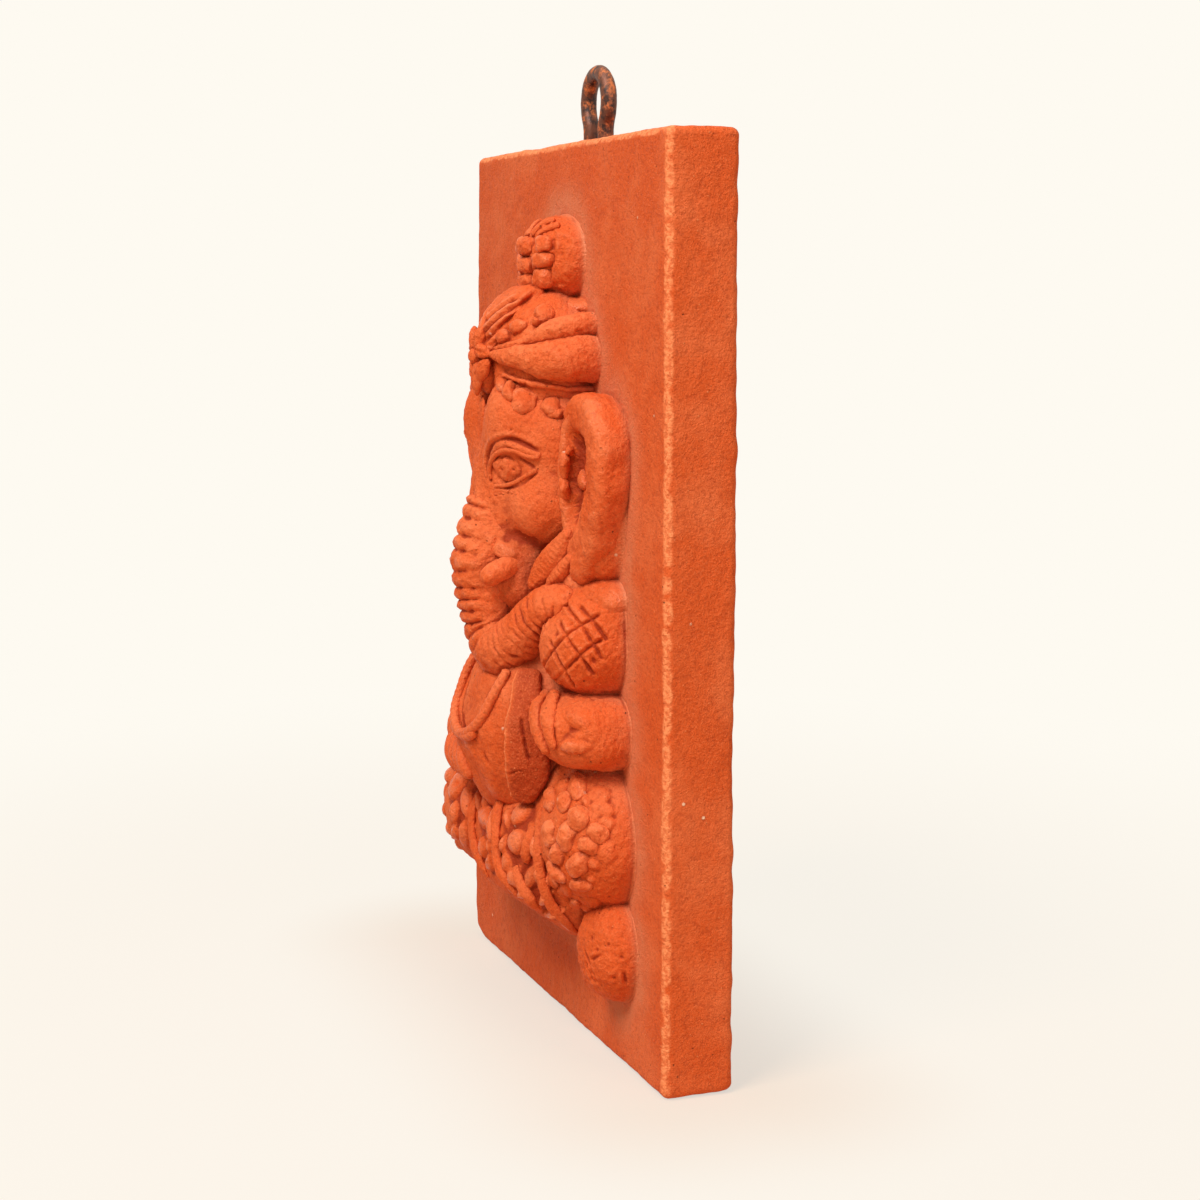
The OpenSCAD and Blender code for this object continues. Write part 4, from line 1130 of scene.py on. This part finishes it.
# Legs: a pleated lap and crossed legs, the near knee set with pellets, and the near foot below it
legs = {
    "lap": ((3, 1.6, 1.4), (29, 18.4, 16.8)),
    "lapForms": [((15, 1, -2.6), (15, 13, 15)), ((20, 5, 13.4), (8.5, 8.5, 9.5)),
                 ((24, 3, 20.9), (10, 7.4, 7.5))],
    "leftLeg": ((-22, 1.6, 0), (25, 19.9, 16.5)),
    "knee": ((29, 0, 0.5), (15.7, 15.5, 17.0)),
    "foot": ((35.6, 0, 0.3), (10.8, 9.4, 11.8)),
    "pleats": [[(478.7, 777), (477.5, 796), (474, 815), (474, 835), (478, 853), (489, 877)],
               [(504, 794), (498, 814), (496.7, 835), (498, 853), (502.5, 873), (517, 896)],
               [(535.8, 826), (530, 838), (528, 853), (526, 862)],
               [(516.7, 866), (519, 878), (526.7, 891), (539, 909)],
               [(553, 786), (543, 817), (540, 840), (540, 866), (543, 882), (549, 900), (561, 916),
                (577, 933)]],
    "pleatHalf": [0.9, 1.3, 1.3, 1.3, 0.7],
    "pleatThick": [0.4, 0.8, 0.8, 0.8, 0.3],
    "hem": ((472.5, 870), (578, 939)),
    # pixel, width, height and tilt of leaves; lumps and pellets also have how far each stands out
    "lapLeaves": [
        (485, 817, 11, 24, 18), (492.5, 826, 7, 36, -4), (484, 847, 11, 23, 12), (492, 846, 8, 18, 5),
        (491, 862, 10, 22, -18), (505, 845, 9, 20, -6), (508, 862, 14, 26, -14), (513, 878, 12, 18, -30),
        (531, 876, 14, 28, -16), (538, 873, 8, 22, -6), (522, 893, 9, 14, -35), (534, 846, 8, 26, 10),
        (545, 900, 9, 24, -30), (553, 914, 8, 18, -40), (488, 796, 12, 22, -25), (509, 818, 9, 22, 6)],
    "lapLumps": [(521, 815, 23, 20, 0, 1.5), (519, 842, 21, 27, 0, 1.9), (547, 882, 11, 18, -12, 1.0)],
    "shinLeaves": [(456, 812, 12, 26, -6), (467, 803, 12, 32, 6), (465, 834, 12, 28, 8),
                   (457, 832, 9, 20, -14), (480, 800, 8, 30, 4), (479, 832, 8, 24, 4)],
    "shinLumps": [(457, 784, 22, 18, 20, 1.4), (452, 772, 12, 16, 0, 0.8)],
    "shinHole": (455, 783),
    "pellets": [(576.7, 785, 17, 22, 0, 1.1), (564, 802.5, 13, 21, 0, 1.2), (577.5, 818, 20, 25, -8, 1.5),
                (549, 800, 11, 22, 15, 0.9), (548.5, 833, 10, 26, 0, 1.1), (566, 836, 17, 30, -15, 1.5),
                (597.5, 834, 23, 18, -30, 1.0), (556.7, 854, 14, 23, -8, 1.3),
                (577.5, 866, 19, 27, -25, 1.4), (588, 847, 22, 15, -30, 0.9), (555, 873, 14, 15, -10, 1.0),
                (580, 886, 21, 13, 10, 0.9), (575, 906, 15, 14, 0, 0.9), (545.5, 884, 10, 17, -15, 0.8)],
    "kneeLumps": [(563, 786, 15, 17, 0, 0.6), (599, 795, 26, 18, -20, 0.7), (602, 809, 28, 14, -20, 0.7),
                  (607, 823, 18, 16, 0, 0.5), (607, 852, 20, 26, 0, 0.5), (593, 864, 15, 10, -10, 0.7),
                  (555, 898, 11, 16, 0, 0.7), (592, 903, 20, 12, 0, 0.6), (585, 916, 20, 9, -5, 0.6),
                  (565, 890, 12, 15, 0, 0.6), (585, 800, 9, 14, 10, 0.5), (590, 880, 10, 8, 0, 0.5)],
    "footPits": [(596, 950), (603, 966), (614, 978), (591, 938), (608, 944), (622, 958), (600, 986),
                 (612, 927)],
    "farFrom": 26,  # pellets further across than this are repeated on the far knee
    "farSize": 0.065,  # their radius there, from the sum of their width and height in pixels
    "toes": [[(585, 964), (590, 975), (595, 984)], [(590, 960), (596, 957), (602, 955)],
             [(624, 972), (625, 978), (626, 984)], [(583, 950), (588, 962), (598, 985)]],
}


def makeLegs():
    (a, o, z), half = legs["lap"]
    up = middle("lap_cloth")
    forms = [egg((a, o, up + z), half, 2.4), *eggs(legs["lapForms"], up)]
    lap = lump((a, 0, up + z), seated(union(forms, 3)), 40, 155, 275).rough(81, 0.12, 0.04)
    lap.trim(*legs["hem"])
    lap.score(legs["pleats"], 1.5, -0.9, lip=0)
    pleats = [rollOn(lap, line, legs["pleatHalf"], legs["pleatThick"], 0.15, around=40, along=160)
              .rough(83, 0.08, 0.03).trim(*legs["hem"]) for line in legs["pleats"]]
    shin = mound("left_leg", legs["leftLeg"], 36, 130, 210).rough(85, 0.14, 0.04)
    lap.swell([(*leaf, 1.5) for leaf in legs["lapLeaves"]], 0.3, True).swell(legs["lapLumps"])
    shin.swell([(*leaf, 1.6) for leaf in legs["shinLeaves"]], 0.3, True).swell(legs["shinLumps"])
    shin.dent(*legs["shinHole"], 0.8, 1.0)
    addPiece("lap_cloth", lap)
    addPiece("lap_pleats", *pleats)
    addPiece("left_leg", shin)
    knee = mound("right_knee", legs["knee"], 30, 175, 225).rough(87, 0.14, 0.05)
    knee.swell(legs["kneeLumps"], 0.12)
    pellets = [pellet(knee, x, y, spread * wide, spread * tall, 1.25 * proud, tilt, 120 + i, square=2.0)
               for i, (x, y, wide, tall, tilt, proud) in enumerate(legs["pellets"])]
    farKnee = []
    for x, y, wide, tall, *rest in legs["pellets"]:
        a, o, z = knee.find([(x, y)])[0][0]
        if a > legs["farFrom"]:
            farKnee.append(((-a, shin.out(-a, z), z), legs["farSize"] * (wide + tall)))
    shin.domes(farKnee, 1.0)
    addPiece("right_knee", knee)
    # the pellets are painted paler all over, a painted highlight
    addPiece("right_knee_pellets", *[bead.paintedHighlight() for bead in pellets])
    foot = mound("right_foot", legs["foot"], 22, 120, 170)
    foot.score(legs["toes"], 0.4, 0.5).rough(89, 0.14, 0.06)
    for x, y in legs["footPits"]:
        foot.dent(x, y, 0.5, 0.45)
    addPiece("right_foot", foot)


makeTopknot()
head = makeHead()
makeTurban(head)
addPiece("head", head)
makeBrooch()
makeTrunk()
makeEar()
print("head, turban and ears shaped")
makeBody()
makeArms()
makeLegs()
print("body, arms and legs shaped")

# Slab: a flat tile with soft edges, its left edge leaning, its back right edge ragged
slab = {
    "round": 1.8,  # radius of the long edges
    "leanTop": 3.4,  # how far the left edge leans in at the top and out at the bottom
    "leanFoot": -4.0,
    "cornerFoot": 9.0,  # radius of the lower left corner
    "ragged": 0.18,  # depth of the waves in the back right edge
    "raggedReach": (3.2, 3.0),  # how far they reach along the back and the right side
    "wearAndHighlight": 2.5,  # strength of the paler clay along the front's right and top edges
    "paintedShade": 0.24,  # strength of the painted shade on the front, growing towards the left
    "depth": 5.0,  # how far below its surroundings a point counts as hollow
    "counts": {"front": 120, "corner": 8, "right": 32, "back": 40, "left": 12, "up": 185, "cap": 10},
}


def slabOutline():
    # the slab's level section: straight sides joined by quarter rounds, and each point's outward direction
    r, counts = slab["round"], slab["counts"]
    w, t = (slabHigh - slabLow)[:2] / 2
    spots, ways = [], []
    sides = [("front", (-w + r, -t), (w - r, -t), -90), ("right", (w, -t + r), (w, t - r), 0),
             ("back", (w - r, t), (-w + r, t), 90), ("left", (-w, t - r), (-w, -t + r), 180)]
    for name, start, end, look in sides:
        share = np.linspace(0, 1, counts[name], endpoint=False)[:, None]
        spots.append(np.array(start) * (1 - share) + np.array(end) * share)
        ways.append(np.tile([np.cos(np.radians(look)), np.sin(np.radians(look))], (counts[name], 1)))
        bend = np.radians(look + 90 * np.arange(counts["corner"]) / counts["corner"])
        arc = np.stack([np.cos(bend), np.sin(bend)], -1)
        spots.append(np.array(end) - r * arc[0] + r * arc)
        ways.append(arc)
    return np.concatenate(spots), np.concatenate(ways)


def footprintDust(a, z):
    # how close each place on the slab's front is to the figure: cells it covers, spread a cell at a time
    cell, margin = 1.0, 12
    low = np.array([a.min(), z.min()]) - margin
    size = np.ceil((np.array([a.max(), z.max()]) + margin - low) / cell).astype(int)
    far = np.full(size, 99.0)
    for skin in allSkins():
        foot = skin.p[skin.p[..., 1] < 1.2][:, [0, 2]]
        i, j = np.clip(((foot - low) / cell).astype(int), 0, size - 1).T
        far[i, j] = 0
    for rounds in range(margin):
        for axis in (0, 1):
            for step in (1, -1):
                far = np.minimum(far, np.roll(far, step, axis) + cell)
    far = eased(far[..., None], 2)[..., 0]
    i, j = np.clip(((np.stack([a, z], -1) - low) / cell).astype(int), 0, size - 1).transpose(2, 0, 1)
    return np.exp(-(far[i, j] / 6.5) ** 1.2)


def makeSlab():
    # the outline carried up from foot to top, drawn in by the edge's round at both, and closed by flat caps
    r, counts = slab["round"], slab["counts"]
    w, t = (slabHigh - slabLow)[:2] / 2
    tall = slabHigh[2] - slabLow[2]
    outline, ways = slabOutline()
    bend = np.linspace(0, np.pi / 2, counts["cap"])
    shrink = np.linspace(0, 1, counts["cap"] + 1)[:-1]
    inset = np.concatenate([np.full(counts["cap"], r), r * (1 - np.sin(bend)), np.zeros(counts["up"] - 2),
                            r * (1 - np.cos(bend)), np.full(counts["cap"], r)])
    height = np.concatenate([np.zeros(counts["cap"]), r * (1 - np.cos(bend)),
                             np.linspace(r, tall - r, counts["up"])[1:-1], tall - r + r * np.sin(bend),
                             np.full(counts["cap"], tall)])
    scale = np.concatenate([shrink, np.ones(2 * counts["cap"] + counts["up"] - 2), shrink[::-1]])
    flat = (outline[None] - ways[None] * inset[:, None, None]) * scale[:, None, None]
    middleX, middleY = (slabLow + slabHigh)[:2] / 2
    x, y, z = flat[..., 0], flat[..., 1], np.broadcast_to(height[:, None], flat.shape[:-1])
    corner = slab["cornerFoot"]
    left, foot = np.clip(1 - (x + w) / corner, 0, 1), np.clip(1 - z / corner, 0, 1)
    rounded = (left > 0) & (foot > 0)  # a square corner pressed to a quarter round
    x = np.where(rounded, -w + corner - corner * left * np.sqrt(1 - foot ** 2 / 2), x)
    z = np.where(rounded, corner - corner * foot * np.sqrt(1 - left ** 2 / 2), z)
    lean = slab["leanFoot"] + (slab["leanTop"] - slab["leanFoot"]) * z / tall
    x = x + lean * np.clip(-x / w, 0, 1) ** 2
    p = np.stack([x + middleX, y + middleY, z + slabLow[2]], -1)
    skin = Skin((p - origin) * flip)
    alongBack, alongSide = slab["raggedReach"]
    ragged = np.exp(-((x - w) / alongBack) ** 2 - ((y - t) / alongSide) ** 2)
    waves = 0.5 * wobble(skin.p * [0, 0, 1], 91, 40) + 0.45 * wobble(skin.p * [0, 0.3, 1], 92, 6)
    waves += 0.35 * wobble(skin.p * [0, 0.3, 1], 98, 16)
    skin.push(-slab["ragged"] * ragged * (0.7 + waves))
    skin.push(0.05 * wobble(skin.p, 93, 22) + 0.035 * wobble(skin.p, 94, 4))
    onFront = np.clip(1 - np.abs(y + t) / 1.0, 0, 1)
    skin.depth = slab["depth"]
    edge = np.exp(-((x - w) / 1.3) ** 2 - ((y + t) / 1.2) ** 2)
    edge = edge + 1.2 * np.exp(-((z - tall + 0.7) / 0.8) ** 2 - ((y + t - 0.7) / 0.8) ** 2)
    skin.wearAndHighlight = slab["wearAndHighlight"] * edge * (0.8 + 0.3 * wobble(skin.p, 97, 3.5))
    # painted shade: the front darker towards the left
    skin.paintedShade = slab["paintedShade"] * onFront * np.clip(-x / w, 0, 1)
    skin.dust = footprintDust(skin.p[..., 0], skin.p[..., 2]) * onFront
    addPiece("back_slab", skin)


makeSlab()

# Hanging loop: one rod of iron bent round into a ring, both ends set in the slab
loop = {
    "wire": 1.78,  # radius of the rod
    "neck": 4.5,  # half the distance between its legs
    "gape": 36,  # degrees below level at which the ring's arc ends
    "straight": 8,  # length of each leg that is surely straight
    "bend": 3.5,  # how far below the ring the legs turn straight
}


def makeLoop():
    # the ring's arc runs from one neck round to the other, and the legs go straight down
    deep = frontY - (loopLow[1] + loopHigh[1]) / 2
    radius = (loopHigh[0] - loopLow[0]) / 2 - loop["wire"]
    centre = loopHigh[2] - loop["wire"] - radius
    sweep = np.radians(np.linspace(-loop["gape"], 180 + loop["gape"], 34))
    ring = np.stack([radius * np.cos(sweep), 0 * sweep + deep, centre + radius * np.sin(sweep)], -1)
    heights = (loopLow[2], loopLow[2] + loop["straight"], centre - radius - loop["bend"])
    leg = np.array([[loop["neck"], deep, z] for z in heights])
    path = np.concatenate([leg, ring, (leg * [-1, 1, 1])[::-1]])
    girth = np.full((len(path), 2), loop["wire"])
    rod = tube(np.concatenate([path, girth], 1), (0, 1, 0), 48, 260, crowd=0.2)
    rod.push(0.025 * wobble(rod.p, 95, 5.0) + 0.01 * wobble(rod.p, 96, 1.2))
    addPiece("hanging_loop", rod, slot="iron")


makeLoop()
print("slab and loop shaped")

# Maps of the whole figure, from which every skin reads how far down in the relief it lies, and how hemmed
# in it is, which the clay's colour takes as painted shade
maps = {
    "cell": 0.6,
    "blur": 34,  # rounds of averaging that smooth the relief
    "step": 1.5,  # how far in front of a point other clay is felt for
    "low": (-52.0, -2.0, 10.0),  # the room round the figure
    "high": (52.0, 31.0, 188.0),
}


def reliefMap():
    # height of the figure's front over the slab, cell by cell, smoothed; read at any point
    cell = maps["cell"]
    low = np.array([slabLow[0] - axisX, slabLow[2]])
    size = np.ceil((slabHigh - slabLow)[[0, 2]] / cell).astype(int) + 1
    height = np.zeros(size)

    def cells(p):
        return np.clip(((p[..., [0, 2]] - low) / cell).astype(int), 0, size - 1)

    for skin in allSkins():
        i, j = packed(cells(skin.p)).T
        np.maximum.at(height, (i, j), packed(skin.p[..., 1]))
    for axis in (0, 1):
        height = np.maximum(height, np.maximum(np.roll(height, 1, axis), np.roll(height, -1, axis)))
    height = eased(height[..., None], maps["blur"])[..., 0]

    def relief(p):
        at = cells(p)
        return height[at[..., 0], at[..., 1]]

    return relief


def crowding():
    # how much clay stands close in front of a point: cells that skins pass through, blurred, read off it.
    # The clay's colour darkens by it as painted shade
    cell, step, low = maps["cell"], maps["step"], np.array(maps["low"])
    size = np.ceil((np.array(maps["high"]) - low) / cell).astype(int)
    filled = np.zeros(size, np.float32)
    for skin in allSkins():
        at = ((packed(skin.p) - low) / cell).astype(int)
        at = at[((at >= 0) & (at < size)).all(1)]
        filled[at[:, 0], at[:, 1], at[:, 2]] = 1
    for rounds in range(2):
        for axis in range(3):
            filled = (filled + np.roll(filled, 1, axis) + np.roll(filled, -1, axis)) / 3

    def crowd(p, n):
        at = (p + n * step - low) / cell - 0.5
        base = np.floor(at).astype(int)
        part = at - base
        total = np.zeros(p.shape[:-1])
        for corner in np.ndindex(2, 2, 2):
            i = np.clip(base + corner, 0, size - 1)
            total += np.where(corner, part, 1 - part).prod(-1) * filled[i[..., 0], i[..., 1], i[..., 2]]
        return total * ((base >= 0) & (base < size - 1)).all(-1)

    return crowd


relief, crowd = reliefMap(), crowding()
for name, skins, slot in pieces:
    makeMesh(name, skins, slot)
print(len(pieces), "pieces made")

# Floor, light and background
stage = {
    "cream": paint(254, 250, 241),
    "floor": paint(214, 172, 134),
    "floorSide": 12000,
    "floorDrop": 0.2,  # just under the slab, so that the two don't share a plane
    "shadowReach": (0.06, 0.36),  # metres from the slab over which the floor turns to plain background
    "glow": (0.66, 0.9),  # share of plain background at the slab and where that reach starts
    "key": {"place": (480, -820, 1250), "side": 520, "power": 20.0},
    "fill": {"place": (1400, 150, 500), "side": 800, "power": 5.6},
    "top": {"place": (100, 0, 1500), "side": 900, "power": 5.4},
    "world": 0.2,
}


def makeFloor():
    # a pale floor that takes the object's shadow near it and turns to plain background further off
    half = stage["floorSide"] / 2 * mm
    square = [(-half, -half, 0), (half, -half, 0), (half, half, 0), (-half, half, 0)]
    mesh = bpy.data.meshes.new("floor")
    mesh.from_pydata(square, [], [(0, 1, 2, 3)])
    floor = bpy.data.objects.new("floor", mesh)
    floor.location.z = (slabLow[2] - stage["floorDrop"]) * mm
    bpy.context.scene.collection.objects.link(floor)
    made, shade = newMaterial("pale_floor")
    gap = shade.node("VectorMath", {"operation": "ABSOLUTE"}, {0: shade.node("TexCoord", out="Object")})
    gap = shade.node("VectorMath", {"operation": "SUBTRACT"}, {0: gap, 1: (slabHigh - slabLow) / 2 * mm})
    gap = shade.node("VectorMath", {"operation": "MAXIMUM"}, {0: gap, 1: (0, 0, 0)})
    gap = shade.node("VectorMath", {"operation": "LENGTH"}, {0: gap}, "Value")
    plain = shade.node("BsdfDiffuse", None, {"Color": stage["floor"]})
    glow = shade.node("Emission", None, {"Color": stage["cream"]})
    (near, reach), (first, then) = stage["shadowReach"], stage["glow"]
    share = first + (then - first) * gap.rise(0, near) + (1 - then) * gap.rise(near, reach)
    mixed = shade.node("MixShader", None, {0: share * shade.plainly(), 1: plain, 2: glow})
    shade.node("OutputMaterial", None, {"Surface": mixed})
    floor.data.materials.append(made)


def makeWorld():
    # cream all round at full strength where it is seen, and a weaker light of that colour on the object
    world = bpy.data.worlds.new("studio")
    world.use_nodes = True
    world.node_tree.nodes.clear()
    shade = Shade(world.node_tree)
    lit = shade.node("Background", None, {"Color": stage["cream"], "Strength": stage["world"]})
    plain = shade.node("Background", None, {"Color": stage["cream"]})
    mixed = shade.node("MixShader", None, {0: shade.plainly(), 1: lit, 2: plain})
    shade.node("OutputWorld", None, {"Surface": mixed})
    bpy.context.scene.world = world


def makeLamps():
    # square lamps that look at the middle of the slab
    aim = (slabLow + slabHigh) / 2
    for name in ("key", "fill", "top"):
        lamp = bpy.data.lights.new(name, "AREA")
        lamp.size = stage[name]["side"] * mm
        lamp.energy = stage[name]["power"]
        back = unit(stage[name]["place"] - aim)
        right = unit(np.cross([0, 0, 1.0], back))
        setUp(name, lamp, right, np.cross(back, right), back, stage[name]["place"])


makeFloor()
makeWorld()
makeLamps()
bpy.context.scene.view_settings.view_transform = "Standard"
print("stage set")
